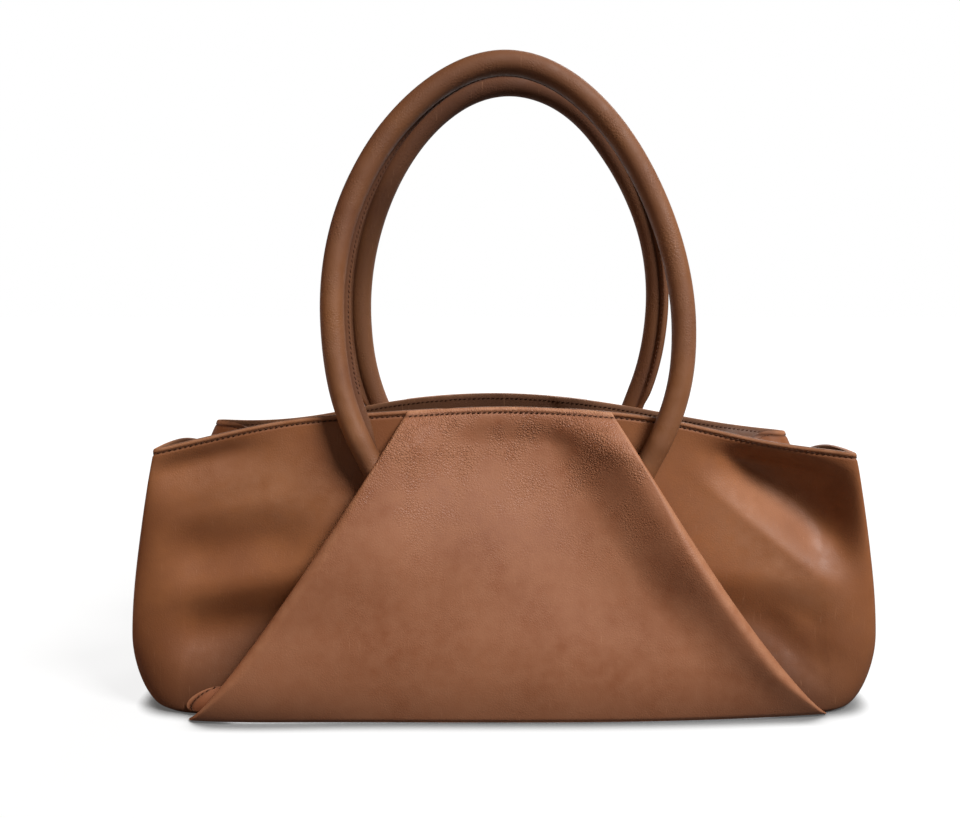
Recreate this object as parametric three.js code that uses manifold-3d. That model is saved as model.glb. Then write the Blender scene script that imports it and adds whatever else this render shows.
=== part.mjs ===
// Soft leather handbag: a pleated centre panel on each face, folded-in ends, two rolled handles.
// Millimetres, +Z up. The front faces -Y and +X is to the right as seen from the front.
// The origin lies under the middle of the base, on the surface that the bag stands on.
import * as THREE from 'three';
import { mergeVertices } from 'three/addons/utils/BufferGeometryUtils.js';
import Module from 'manifold-3d';

const wasm = await Module();
wasm.setup();

// Clearance between pieces that are sewn or laid together, and slack between leather and lining
const seamGap = 0.3;
const liningEase = 0.8;

// Sheet thicknesses
const leatherThickness = 1.6;
const pleatThickness = 2.4;
const facingThickness = 1.4;
const liningThickness = 0.8;
const boardThickness = 2.5;

// Body: lengths run along X, depths along Y, all measured from the middle of the bag
const rimCentreHeight = 174.7;
const rimCornerHeight = 151.5;
const rimArchPower = 1.75;
const rimHalfLength = 205.5;
const bellyHalfLength = 216.5;
const bellyHeight = 42;
const endFootHalfLength = 198;
const mouthHalfDepth = 37;
const rimCornerHalfDepth = 58;
const wallFootHalfDepth = 69;
const cornerFootHalfDepth = 54;
const endFoldDepth = 48;
const endInset = 1;
const cornerReach = 16;
const cornerFlarePower = 2.5;
const facingDepth = 34;

// How the body's curves bend: the taper above the belly, the slack in the walls, the fold of the ends
const bellyTaperPower = 2;
const wallSlackPower = 1.6;
const endFoldPower = 1.6;
const pleatCurvePower = 0.9;

// Pleats: the centre panel is narrow at the rim and as long as the base at its foot
const pleatTopHalfWidth = 58;
const pleatFootHalfWidth = 181;
const pleatUnderlap = 20;
const centrePanelShift = 3;
const pleatEase = 1;

// Handles: a leather roll sewn along the inside of its loop, over a cord
const handleRadius = 6.8;
const handleWall = 1.8;
const handleHalfSpan = 97.6;
const handleWaistHeight = 221;
const handleTopHeight = 365.9;
const handleCrownEase = 70;
const handleCrownReach = 50;
const hingeHeight = 158;
const hingeHalfSpan = 84.5;
const hingeSlant = THREE.MathUtils.degToRad(24);
const hingeEase = 24;
const handleLean = THREE.MathUtils.degToRad(4);
const handleRimClearance = 2.6;
const inwardSwing = THREE.MathUtils.degToRad(6);
const seamFinLength = 4;
const seamFinWidth = 3;
const seamFinTilt = THREE.MathUtils.degToRad(30);
const coreSetback = 3;

// Handle roots: the roll flattens into a tab under the pleat
const rootDrop = 32;
const rootKnee = 16;
const pleatCrossing = 12;
const tabStart = 0.55;
const rootFootHalfSpan = 68;
const tabHalfWidth = 11;
const tabHalfThickness = 2.5;

// Magnetic snap at the middle of the mouth
const snapDrop = 22;
const snapRadius = 9;
const snapBodyHeight = 3.2;
const snapBoreRadius = 4.4;
const snapBoreDepth = 1.8;
const snapKnobRadius = 4;
const snapKnobHeight = 1.6;
const snapRimRound = 0.8;
const snapStudHeight = 1.8;
const snapWasherHeight = 0.8;

// Mesh steps
const frontColumns = 7;
const cornerColumns = 4;
const endColumns = 3;
const liningRows = 7;
const facingRows = 2;
const pleatColumns = 14;
const pleatRows = 12;
const handleSides = 12;
const handleSteps = 32;
const rootSteps = 6;
const snapSides = 16;

// Heights at which the walls begin, above the base panel, and where the lining begins, above its floor
const wallFoot = leatherThickness + seamGap;
const floorHeight = wallFoot + boardThickness + seamGap;
const liningFoot = floorHeight + liningThickness + seamGap;
const liningOffset = leatherThickness + liningEase;

// How far the pleat's outer face stands off the wall where nothing lifts it
const pleatStand = seamGap + pleatThickness;

const mix = THREE.MathUtils.lerp;
const quarterTurn = Math.PI / 2;

// The rim is an arch: highest over the middle, lowest at the corners
function rimHeight(x) {
  const reach = Math.min(1, Math.abs(x) / rimHalfLength);
  return rimCentreHeight - (rimCentreHeight - rimCornerHeight) * reach ** rimArchPower;
}

function heightAt(x, rise) {
  return mix(wallFoot, rimHeight(x), rise);
}

function riseAt(x, z) {
  return (z - wallFoot) / (rimHeight(x) - wallFoot);
}

// Half length of the bag at its corners: it swells to the belly and rounds in under it
function cornerHalfLength(rise) {
  const z = mix(wallFoot, rimCornerHeight, rise);
  if (z < bellyHeight) {
    const below = (bellyHeight - z) / bellyHeight;
    return endFootHalfLength + (bellyHalfLength - endFootHalfLength) * Math.sqrt(1 - below * below);
  }
  const above = (z - bellyHeight) / (rimCornerHeight - bellyHeight);
  return mix(bellyHalfLength, rimHalfLength, above ** bellyTaperPower);
}

// Half depth of the outer wall: slack behind the pleats, full at the corners
function wallHalfDepth(x, rise) {
  const middle = mouthHalfDepth + (wallFootHalfDepth - mouthHalfDepth) * (1 - rise) ** wallSlackPower;
  const corner = mix(cornerFootHalfDepth, rimCornerHalfDepth, rise);
  const reach = Math.min(1, Math.abs(x) / cornerHalfLength(rise));
  return mix(middle, corner, reach ** cornerFlarePower);
}

// A point of the right front quarter of the wall in plan, from startX (t = 0) round the corner to
// the end seam (t = 1). The corner is an arc that begins cornerReach short of the corner's tip.
const cornerStart = 0.5;
const cornerEnd = 0.7;
const nudge = 0.01;
function wallPlan(t, rise, startX) {
  const turnX = cornerHalfLength(rise) - cornerReach;
  if (t <= cornerStart) {
    const x = mix(startX, turnX, t / cornerStart);
    return new THREE.Vector2(x, -wallHalfDepth(x, rise));
  }
  const turn = new THREE.Vector2(turnX, -wallHalfDepth(turnX, rise));
  const beyond = new THREE.Vector2(turnX + nudge, -wallHalfDepth(turnX + nudge, rise));
  const ahead = beyond.sub(turn).normalize();
  const tip = turn.clone().addScaledVector(ahead, cornerReach);
  const seam = new THREE.Vector2(tip.x - endInset - endFoldDepth * rise ** endFoldPower, -seamGap);
  const along = seam.clone().sub(tip).normalize();
  const after = tip.clone().addScaledVector(along, cornerReach);
  if (t >= cornerEnd) return after.lerp(seam, (t - cornerEnd) / (1 - cornerEnd));
  const sweep = Math.acos(ahead.dot(along));
  const radius = cornerReach / Math.tan(sweep / 2);
  const centre = turn.clone().add(new THREE.Vector2(-ahead.y, ahead.x).multiplyScalar(radius));
  return turn.rotateAround(centre, sweep * (t - cornerStart) / (cornerEnd - cornerStart));
}

// The same quarter moved inwards by offset; side is -1 for the left quarter and 1 for the right
function wallPoint(side, t, rise, offset, startX) {
  const plan = wallPlan(t, rise, startX);
  const ahead = wallPlan(Math.min(1, t + nudge), rise, startX);
  const along = ahead.sub(wallPlan(Math.max(0, t - nudge), rise, startX)).normalize();
  const x = plan.x - along.y * offset;
  const y = plan.y + along.x * offset;
  return new THREE.Vector3(side * x, y, heightAt(plan.x, rise));
}

// Half width of the centre panel, from its foot to the rim
function pleatHalfWidth(rise) {
  return pleatFootHalfWidth - (pleatFootHalfWidth - pleatTopHalfWidth) * rise ** pleatCurvePower;
}

// The handle's foot, where the pleat has to make room for the whole roll
const footRise = riseAt(hingeHalfSpan, hingeHeight - pleatCrossing);

// Half depth of the centre panel's outer face: it lifts off the wall over the handle roots
function pleatHalfDepth(x, rise) {
  const lift = rise < footRise
    ? Math.sin(quarterTurn * rise / footRise)
    : Math.cos(quarterTurn * (rise - footRise) / (1 - footRise));
  const room = 2 * handleRadius + pleatEase;
  return wallHalfDepth(x, rise) + pleatStand + room * lift;
}

// A closed sheet between two faces, each a function of column and row; columns run to the right
// and rows run up, as seen from outside
function sheet(columns, rows, outerFace, innerFace) {
  const positions = [];
  for (const face of [outerFace, innerFace]) {
    for (let row = 0; row <= rows; row++) {
      for (let column = 0; column <= columns; column++) positions.push(...face(column, row).toArray());
    }
  }
  const layer = (columns + 1) * (rows + 1);
  const outer = (column, row) => row * (columns + 1) + column;
  const index = [];
  for (let row = 0; row < rows; row++) {
    for (let column = 0; column < columns; column++) {
      const a = outer(column, row);
      const b = outer(column + 1, row);
      const c = outer(column + 1, row + 1);
      const d = outer(column, row + 1);
      index.push(a, b, c, a, c, d);
      index.push(layer + a, layer + c, layer + b, layer + a, layer + d, layer + c);
    }
  }
  const edge = [];
  for (let column = 0; column < columns; column++) edge.push(outer(column, 0));
  for (let row = 0; row < rows; row++) edge.push(outer(columns, row));
  for (let column = columns; column > 0; column--) edge.push(outer(column, rows));
  for (let row = rows; row > 0; row--) edge.push(outer(0, row));
  edge.forEach((p, i) => {
    const q = edge[(i + 1) % edge.length];
    index.push(p, layer + p, layer + q, p, layer + q, q);
  });
  return indexed(positions, index);
}

function indexed(positions, index) {
  const geometry = new THREE.BufferGeometry();
  geometry.setAttribute('position', new THREE.Float32BufferAttribute(positions, 3));
  geometry.setIndex(index);
  geometry.computeVertexNormals();
  return geometry;
}

// A closed skin over rings of points, each ring counter-clockwise about the direction of travel
function loft(rings) {
  const sides = rings[0].length;
  const positions = rings.flat().flatMap((point) => point.toArray());
  const index = [];
  for (let ring = 0; ring < rings.length - 1; ring++) {
    for (let side = 0; side < sides; side++) {
      const a = ring * sides + side;
      const b = ring * sides + (side + 1) % sides;
      index.push(a, b, b + sides, a, b + sides, a + sides);
    }
  }
  const last = (rings.length - 1) * sides;
  for (let side = 1; side < sides - 1; side++) {
    index.push(0, side + 1, side);
    index.push(last, last + side, last + side + 1);
  }
  return indexed(positions, index);
}

function toSolid(geometry) {
  const bare = geometry.clone();
  bare.deleteAttribute('normal');
  bare.deleteAttribute('uv');
  const merged = mergeVertices(bare);
  const vertProperties = new Float32Array(merged.attributes.position.array);
  const triVerts = new Uint32Array(merged.index.array);
  return new wasm.Manifold(new wasm.Mesh({ numProp: 3, vertProperties, triVerts }));
}

function cutAway(geometry, cutter) {
  const mesh = toSolid(geometry).subtract(toSolid(cutter)).getMesh();
  return indexed(Array.from(mesh.vertProperties), Array.from(mesh.triVerts));
}

const finishes = {
  leather: { color: 0x8a5b40, roughness: 0.5, metalness: 0 },
  sideLeather: { color: 0x7d5036, roughness: 0.52, metalness: 0 },
  handleLeather: { color: 0x754b32, roughness: 0.48, metalness: 0 },
  facingLeather: { color: 0x8f6238, roughness: 0.65, metalness: 0 },
  lining: { color: 0x6b4a33, roughness: 0.9, metalness: 0 },
  cord: { color: 0xcfc3a8, roughness: 0.95, metalness: 0 },
  board: { color: 0xa58c68, roughness: 0.9, metalness: 0 },
  snapMetal: { color: 0xb8a473, roughness: 0.3, metalness: 1 },
};

function piece(name, geometry, finish) {
  const mesh = new THREE.Mesh(geometry, new THREE.MeshStandardMaterial(finishes[finish]));
  mesh.name = name;
  return mesh;
}

// Column positions along a quarter wall, closer together towards and round the corner
function quarterColumns() {
  const stops = [];
  for (let i = 0; i < frontColumns; i++) {
    stops.push(cornerStart * (1 - (1 - i / frontColumns) ** 1.6));
  }
  for (let i = 0; i < cornerColumns; i++) stops.push(mix(cornerStart, cornerEnd, i / cornerColumns));
  for (let i = 0; i <= endColumns; i++) stops.push(mix(cornerEnd, 1, i / endColumns));
  return stops;
}

// Row positions up a wall, shared by the panels, the lining and the facing, and closer together near
// the foot, where the ends round under
const liningRise = riseAt(rimHalfLength, liningFoot);
const facingRise = riseAt(0, rimCentreHeight - facingDepth);
const liningRises = [];
for (let row = 0; row <= liningRows; row++) {
  liningRises.push(mix(liningRise, facingRise, (row / liningRows) ** 1.4));
}
const facingRises = [];
for (let row = 0; row <= facingRows; row++) facingRises.push(mix(facingRise, 1, row / facingRows));
const wallRises = [0, ...liningRises, ...facingRises.slice(1)];

// A side panel runs from under the pleat round the corner to the end seam
function sidePanel(side) {
  const stops = quarterColumns();
  const columns = stops.length - 1;
  const face = (offset) => (column, row) => {
    const t = side > 0 ? stops[column] : stops[columns - column];
    const rise = wallRises[row];
    const startX = pleatHalfWidth(rise) + side * centrePanelShift - pleatUnderlap;
    return wallPoint(side, t, rise, offset, startX);
  };
  return sheet(columns, wallRises.length - 1, face(0), face(leatherThickness));
}

// A band that lies inside the wall from end seam to end seam
function innerBand(thickness, rises) {
  const stops = quarterColumns();
  const half = stops.length - 1;
  const face = (depth) => (column, row) => {
    const side = column < half ? -1 : 1;
    return wallPoint(side, stops[Math.abs(column - half)], rises[row], depth, 0);
  };
  return sheet(2 * half, rises.length - 1, face(liningOffset), face(liningOffset + thickness));
}

function centrePanel() {
  const face = (inset) => (column, row) => {
    const rise = 1 - (1 - row / pleatRows) ** 1.5;
    const across = mix(-1, 1, column / pleatColumns);
    const x = across * pleatHalfWidth(rise) + centrePanelShift;
    return new THREE.Vector3(x, inset - pleatHalfDepth(x, rise), heightAt(x, rise));
  };
  return sheet(pleatColumns, pleatRows, face(0), face(pleatThickness));
}

// Handle: the loop lies in a plane through the hinge, with the hinge line at height zero
const hingeHalfDepth = wallHalfDepth(hingeHalfSpan, 1) + handleRimClearance + handleRadius;
const waist = handleWaistHeight - hingeHeight;
const crown = handleTopHeight - hingeHeight;

function handlePath() {
  const point = (x, z) => new THREE.Vector3(x, 0, z);
  const easeX = hingeEase * Math.sin(hingeSlant);
  const easeZ = hingeEase * Math.cos(hingeSlant);
  const path = new THREE.CurvePath();
  path.add(new THREE.CubicBezierCurve3(
    point(-hingeHalfSpan, 0),
    point(-hingeHalfSpan - easeX, easeZ),
    point(-handleHalfSpan, waist - hingeEase),
    point(-handleHalfSpan, waist),
  ));
  path.add(new THREE.CubicBezierCurve3(
    point(-handleHalfSpan, waist),
    point(-handleHalfSpan, waist + handleCrownEase),
    point(-handleCrownReach, crown),
    point(0, crown),
  ));
  path.add(new THREE.CubicBezierCurve3(
    point(0, crown),
    point(handleCrownReach, crown),
    point(handleHalfSpan, waist + handleCrownEase),
    point(handleHalfSpan, waist),
  ));
  path.add(new THREE.CubicBezierCurve3(
    point(handleHalfSpan, waist),
    point(handleHalfSpan, waist - hingeEase),
    point(hingeHalfSpan + easeX, easeZ),
    point(hingeHalfSpan, 0),
  ));
  return path;
}

// Section of the roll: a ring with the sewn fin on the inside of the loop, turned a little back
function rollSection() {
  const section = new THREE.Shape();
  const finHalfAngle = Math.asin(seamFinWidth / 2 / handleRadius);
  const finAngle = quarterTurn + seamFinTilt;
  const finReach = handleRadius + seamFinLength;
  const finTip = (sign) => new THREE.Vector2(finReach, sign * seamFinWidth / 2)
    .rotateAround(new THREE.Vector2(), finAngle);
  section.absarc(0, 0, handleRadius, finAngle + finHalfAngle, finAngle - finHalfAngle + 2 * Math.PI);
  section.lineTo(finTip(-1).x, finTip(-1).y);
  section.lineTo(finTip(1).x, finTip(1).y);
  section.closePath();
  const bore = new THREE.Path();
  bore.absarc(0, 0, handleRadius - handleWall, 0, 2 * Math.PI, true);
  section.holes.push(bore);
  return section;
}

function handleCover() {
  return new THREE.ExtrudeGeometry(rollSection(), {
    steps: handleSteps,
    curveSegments: handleSides / 2,
    extrudePath: handlePath(),
  });
}

function handleCore() {
  const section = new THREE.Shape();
  section.absarc(0, 0, handleRadius - handleWall - seamGap, 0, 2 * Math.PI);
  const path = handlePath();
  const length = path.getLength();
  const points = [];
  for (let step = 0; step <= handleSteps; step++) {
    const along = mix(coreSetback, length - coreSetback, step / handleSteps);
    points.push(path.getPointAt(along / length));
  }
  return new THREE.ExtrudeGeometry(section, {
    steps: handleSteps,
    curveSegments: handleSides / 2,
    extrudePath: new THREE.CatmullRomCurve3(points),
  });
}

// A root carries the roll on below the hinge, leans it in to the wall and flattens it into a tab;
// its end is cut so that the handle can swing inwards
function handleRoot(side) {
  const top = new THREE.Vector2(hingeHalfSpan, hingeHeight);
  const slant = new THREE.Vector2(Math.sin(hingeSlant), Math.cos(hingeSlant));
  const above = top.clone().addScaledVector(slant, handleRadius);
  const foot = new THREE.Vector2(rootFootHalfSpan, hingeHeight - rootDrop);
  const knee = top.clone().addScaledVector(slant, -rootKnee);
  const path = new THREE.QuadraticBezierCurve(top, knee, foot);
  const hingeBack = hingeHalfDepth - handleRadius - wallHalfDepth(top.x, riseAt(top.x, top.y));
  const rings = [];
  for (let step = -1; step <= rootSteps; step++) {
    const t = Math.max(0, step / rootSteps);
    const centre = step < 0 ? above : path.getPoint(t);
    const along = step < 0 ? slant.clone().negate() : path.getTangent(t);
    const flat = THREE.MathUtils.smoothstep(t, tabStart, 1);
    const halfWidth = mix(handleRadius, tabHalfWidth, flat);
    const halfThickness = mix(handleRadius, tabHalfThickness, flat);
    const back = mix(hingeBack, seamGap, THREE.MathUtils.smoothstep(t, 0, tabStart));
    const wall = wallHalfDepth(centre.x, riseAt(centre.x, Math.min(centre.y, hingeHeight)));
    const ring = [];
    for (let corner = 0; corner < handleSides; corner++) {
      const angle = side * 2 * Math.PI * corner / handleSides;
      const across = halfWidth * Math.cos(angle);
      const x = centre.x - across * along.y;
      const z = centre.y + across * along.x;
      const y = -wall - back - halfThickness * (1 + Math.sin(angle));
      ring.push(new THREE.Vector3(side * x, y, z));
    }
    rings.push(ring);
  }
  return cutAway(loft(rings), rootCutter(side));
}

// Everything above the handle's end face, as that face stands at the end of the inward swing
function rootCutter(side) {
  const block = new THREE.BoxGeometry(8 * handleRadius, 8 * handleRadius, 4 * handleRadius);
  block.translate(0, 0, 2 * handleRadius - seamGap);
  block.rotateY(side * hingeSlant);
  block.translate(side * hingeHalfSpan, 0, 0);
  block.rotateX(-handleLean);
  block.translate(0, handleRadius + seamGap, 0);
  block.rotateX(-inwardSwing);
  block.translate(0, -hingeHalfDepth - handleRadius - seamGap, hingeHeight);
  return block;
}

// Snap halves and washers are turned about Y, with +Y pointing into the bag
function turned(profile) {
  return new THREE.LatheGeometry(profile.map(([r, y]) => new THREE.Vector2(r, y)), snapSides);
}

function snapSocket() {
  return turned([
    [0, 0],
    [snapRadius, 0],
    [snapRadius, snapBodyHeight - snapRimRound],
    [snapRadius - snapRimRound, snapBodyHeight],
    [snapBoreRadius, snapBodyHeight],
    [snapBoreRadius, snapBodyHeight - snapBoreDepth],
    [0, snapBodyHeight - snapBoreDepth],
  ]);
}

function snapStud() {
  return turned([
    [0, 0],
    [snapRadius, 0],
    [snapRadius, snapStudHeight - snapRimRound],
    [snapRadius - snapRimRound, snapStudHeight],
    [snapKnobRadius, snapStudHeight],
    [snapKnobRadius, snapStudHeight + snapKnobHeight],
    [0, snapStudHeight + snapKnobHeight],
  ]);
}

function snapWasher() {
  return turned([[0, 0], [snapRadius, 0], [snapRadius, snapWasherHeight], [0, snapWasherHeight]]);
}

// A snap half lies on the facing's inner side and its washer on the outer side, behind the pleat
function placeSnap(half, washer) {
  const rise = riseAt(0, rimCentreHeight - snapDrop);
  const climb = heightAt(0, rise + nudge) - heightAt(0, rise - nudge);
  const tilt = Math.atan2(wallHalfDepth(0, rise - nudge) - wallHalfDepth(0, rise + nudge), climb);
  const seat = new THREE.Group();
  seat.position.set(0, liningOffset - wallHalfDepth(0, rise), heightAt(0, rise));
  seat.rotation.x = -tilt;
  half.position.y = facingThickness + seamGap;
  washer.position.y = -snapWasherHeight - seamGap;
  seat.add(half, washer);
  return seat;
}

// One face of the bag, modelled as the front; the back is the same turned round
function halfBag(face, leftName, rightName, snapName, snapGeometry) {
  const liningTop = facingRise - seamGap / rimCornerHeight;
  const half = new THREE.Group();
  half.add(piece(`${face}_centre_panel`, centrePanel(), 'leather'));
  half.add(piece(`${face}_${leftName}_panel`, sidePanel(-1), 'sideLeather'));
  half.add(piece(`${face}_${rightName}_panel`, sidePanel(1), 'sideLeather'));
  half.add(piece(`${face}_facing`, innerBand(facingThickness, facingRises), 'facingLeather'));
  const lining = innerBand(liningThickness, [...liningRises.slice(0, -1), liningTop]);
  half.add(piece(`${face}_lining`, lining, 'lining'));
  const snap = piece(snapName, snapGeometry, 'snapMetal');
  half.add(placeSnap(snap, piece(`${face}_snap_washer`, snapWasher(), 'snapMetal')));
  half.add(piece(`${face}_${leftName}_handle_root`, handleRoot(-1), 'handleLeather'));
  half.add(piece(`${face}_${rightName}_handle_root`, handleRoot(1), 'handleLeather'));
  const handle = new THREE.Group();
  handle.position.set(0, -hingeHalfDepth, hingeHeight);
  handle.rotation.x = -handleLean;
  handle.add(piece(`${face}_handle_cover`, handleCover(), 'handleLeather'));
  handle.add(piece(`${face}_handle_core`, handleCore(), 'cord'));
  half.add(handle);
  return half;
}

// A flat sheet that fills the foot of the walls, moved in from them by offset
function floorSheet(offset, thickness, z) {
  const stops = quarterColumns();
  const front = [];
  for (const t of stops.slice().reverse()) front.push(wallPoint(-1, t, 0, offset, 0));
  for (const t of stops.slice(1)) front.push(wallPoint(1, t, 0, offset, 0));
  const back = front.map((point) => new THREE.Vector3(-point.x, -point.y, 0));
  const outline = new THREE.Shape([...front, ...back].map((point) => new THREE.Vector2(point.x, point.y)));
  const geometry = new THREE.ExtrudeGeometry(outline, { depth: thickness, bevelEnabled: false });
  return geometry.translate(0, 0, z);
}

// The base panel reaches out under the pleats; the board and the lining's floor lie within the walls
const bag = new THREE.Group();
bag.add(piece('base_panel', floorSheet(-pleatStand, leatherThickness, 0), 'leather'));
bag.add(piece('base_board', floorSheet(liningOffset, boardThickness, wallFoot), 'board'));
bag.add(piece('lining_floor', floorSheet(liningOffset, liningThickness, floorHeight), 'lining'));
bag.add(halfBag('front', 'left', 'right', 'snap_socket', snapSocket()));
const backHalf = halfBag('back', 'right', 'left', 'snap_stud', snapStud());
backHalf.rotation.z = Math.PI;
bag.add(backHalf);

export default bag;
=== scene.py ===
"""Dresses the packed handbag: soft leather panels, rolled handles, stitching, lining and a studio."""
import math
from dataclasses import dataclass

import bpy
import numpy as np
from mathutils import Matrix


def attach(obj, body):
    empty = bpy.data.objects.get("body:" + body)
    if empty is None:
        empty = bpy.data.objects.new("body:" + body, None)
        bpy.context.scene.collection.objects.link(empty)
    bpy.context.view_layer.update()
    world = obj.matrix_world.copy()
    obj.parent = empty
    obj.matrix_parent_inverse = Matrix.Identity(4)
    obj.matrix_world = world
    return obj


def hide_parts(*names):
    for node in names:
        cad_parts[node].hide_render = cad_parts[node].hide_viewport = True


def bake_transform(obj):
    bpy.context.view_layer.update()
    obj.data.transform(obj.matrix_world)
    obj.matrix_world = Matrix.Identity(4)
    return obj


bl_info = {
    "name": "Pleated Leather Handbag",
    "version": (1, 0, 0),
    "blender": (4, 5, 0),
    "location": "View3D > Sidebar > Handbag",
    "description": "Dresses the packed handbag with leather, stitching, lining and a studio",
    "category": "Object",
}

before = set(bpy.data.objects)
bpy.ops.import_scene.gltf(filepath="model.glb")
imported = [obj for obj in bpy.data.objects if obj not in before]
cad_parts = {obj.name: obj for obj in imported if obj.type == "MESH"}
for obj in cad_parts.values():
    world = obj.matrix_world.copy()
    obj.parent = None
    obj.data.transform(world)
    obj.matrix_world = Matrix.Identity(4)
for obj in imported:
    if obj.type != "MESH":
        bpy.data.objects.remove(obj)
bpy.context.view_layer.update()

MM = 0.001


def linear(hex_colour):
    """Linear RGBA of an sRGB hex colour"""
    parts = [int(hex_colour[i:i + 2], 16) / 255 for i in (1, 3, 5)]
    return [c / 12.92 if c <= 0.04045 else ((c + 0.055) / 1.055) ** 2.4 for c in parts] + [1.0]


def length(name, millimetres, description):
    """A length property whose default is given in millimetres"""
    return bpy.props.FloatProperty(
        name=name, description=description, default=millimetres * MM, unit="LENGTH", precision=4)


def angle(name, degrees, description):
    """An angle property whose default is given in degrees"""
    return bpy.props.FloatProperty(
        name=name, description=description, default=math.radians(degrees), unit="ROTATION")


def colour(name, hex_colour, description):
    """A colour property whose default is given as an sRGB hex value"""
    return bpy.props.FloatVectorProperty(
        name=name, description=description, default=linear(hex_colour), size=4, subtype="COLOR", min=0, max=1)


class HandbagBody(bpy.types.PropertyGroup):
    """Sizes of the body, measured from the middle of the bag, as in the packed solids"""

    rim_centre_height: length("Rim at the middle", 174.7, "Height of the rim over the middle of the bag")
    rim_corner_height: length("Rim at the corners", 151.5, "Height of the rim at the corners")
    rim_half_length: length("Rim half length", 201.5, "From the middle to a corner of the rim")
    belly_half_length: length("Belly half length", 217, "From the middle to the fullest part of an end")
    belly_height: length("Belly height", 42, "Height of the fullest part of the ends")
    end_foot_half_length: length("End foot half length", 198, "From the middle to the foot of an end")
    mouth_half_depth: length("Mouth half depth", 37, "From the middle to the wall at the rim")
    rim_corner_half_depth: length("Rim corner half depth", 58, "Depth of a corner of the rim")
    wall_foot_half_depth: length("Wall foot half depth", 69, "From the middle to the wall at its foot")
    corner_foot_half_depth: length("Corner foot half depth", 54, "Depth of a corner at its foot")
    corner_reach: length("Corner reach", 14, "How far before its tip a corner begins to turn at the rim")
    corner_swell: length("Corner swell", 19, "How much earlier a corner begins to turn lower down")
    end_fold_depth: length("End fold depth", 48, "How far the ends fold in at the rim")
    end_inset: length("End inset", 1, "How far the end seam lies in at its foot")
    end_bow: length("End bow", 12, "How far the folded ends hug the faces at the rim")
    leather_thickness: length("Leather thickness", 1.6, "Thickness of the panels")
    base_inset: length("Base inset", 4, "How far the base panel lies in from the foot of the walls")
    facing_depth: length("Facing depth", 34, "Depth of the leather band inside the rim")


class HandbagPleat(bpy.types.PropertyGroup):
    """Sizes of the pleated centre panels"""

    top_half_width: length("Top half width", 58, "Half width of a centre panel at the rim")
    foot_half_width: length("Foot half width", 181, "Half width of a centre panel at its foot")
    underlap: length("Underlap", 20, "How far a side panel runs on under the pleat")
    shift: length("Shift", 3, "How far a centre panel sits to its right")
    lift: length("Lift", 15.1, "How far the pleat stands off over the handle's foot")
    foot_stand: length("Stand at the foot", 2.7, "How far the pleat stands off the wall at its foot")
    rim_stand: length("Stand at the rim", 1.9, "How far the pleat stands off the wall at the rim")
    crisp_radius: length("Crisp fold radius", 2.4, "Radius of the folds near the rim")
    soft_radius: length("Soft fold radius", 8.4, "Radius of the folds lower down")
    valley_depth: length("Valley depth", 9.5, "How far the panel sinks beside its right fold")
    valley_reach: length("Valley reach", 50, "How far from the right fold the panel sinks most")
    ridge_height: length("Ridge height", 3, "How far the right fold stands out of the panel")
    foot_flare: length("Foot flare", 8, "How far the left foot of the panel stands forward on the floor")
    belly: length("Belly", 9, "How far the panel swells out above its foot")
    belly_height: length("Belly height", 50, "Height at which the panel has swelled out")
    fold_return: length("Fold return", 15, "How far the leather runs back behind the fold")
    thickness: length("Thickness", 1.0, "Thickness of the leather in the pleat")


class HandbagHandle(bpy.types.PropertyGroup):
    """Sizes of the rolled handles"""

    radius: length("Roll radius", 6.8, "Radius of the leather roll")
    half_span: length("Half span", 97.6, "Half of the loop's width at its waist")
    waist_height: length("Waist height", 221, "Height of the widest part of the loop")
    top_height: length("Top height", 365.9, "Height of the loop's crown")
    crown_ease: length("Crown ease", 70, "Length of the curve's handle above the waist")
    crown_reach: length("Crown reach", 50, "Length of the curve's handle at the crown")
    hinge_height: length("Hinge height", 158, "Height of the line that the handle swings on")
    hinge_half_span: length("Hinge half span", 84.5, "From the middle to a foot of the loop")
    hinge_slant: angle("Hinge slant", 24, "How far the loop leans out at its feet")
    hinge_ease: length("Hinge ease", 24, "Length of the curve's handle at the feet")
    lean: angle("Lean", 4, "How far the loop leans in over the mouth")
    rim_clearance: length("Rim clearance", 2.6, "Room between the rim and the roll")
    root_drop: length("Root drop", 32, "How far the root runs down under the pleat")
    root_knee: length("Root knee", 16, "How far the root runs straight before it turns in")
    root_foot_half_span: length("Root foot half span", 68, "From the middle to the end of a root")
    tab_half_width: length("Tab half width", 11, "Half width of the flattened end of a root")
    tab_half_thickness: length("Tab half thickness", 2.5, "Half thickness of the flattened end")
    pleat_crossing: length("Pleat crossing", 12, "How far below the hinge the roll goes under the pleat")
    cord_radius: length("Cord radius", 4.6, "Radius of the cord inside the roll")
    fin_length: length("Fin length", 4, "How far the sewn fin stands off the roll")
    fin_width: length("Fin width", 3.2, "Thickness of the sewn fin")


class HandbagStitching(bpy.types.PropertyGroup):
    """Sizes of the machine stitching"""

    pitch: length("Pitch", 3.0, "Distance from one stitch to the next")
    stitch_length: length("Stitch length", 2.3, "Length of the thread that shows")
    thread: length("Thread", 0.85, "Thickness of the thread")
    rim_drop: length("Rim drop", 2.8, "Distance of the stitch line from the rim")
    groove_depth: length("Groove depth", 0.5, "How deep the stitches pull the leather in")
    groove_width: length("Groove width", 0.8, "Half width of the pulled-in line")
    slant: angle("Slant", 14, "How far each stitch turns from its row")
    fin_drop: length("Fin drop", 2.3, "Distance of the fin's stitch line from the roll")


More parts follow.
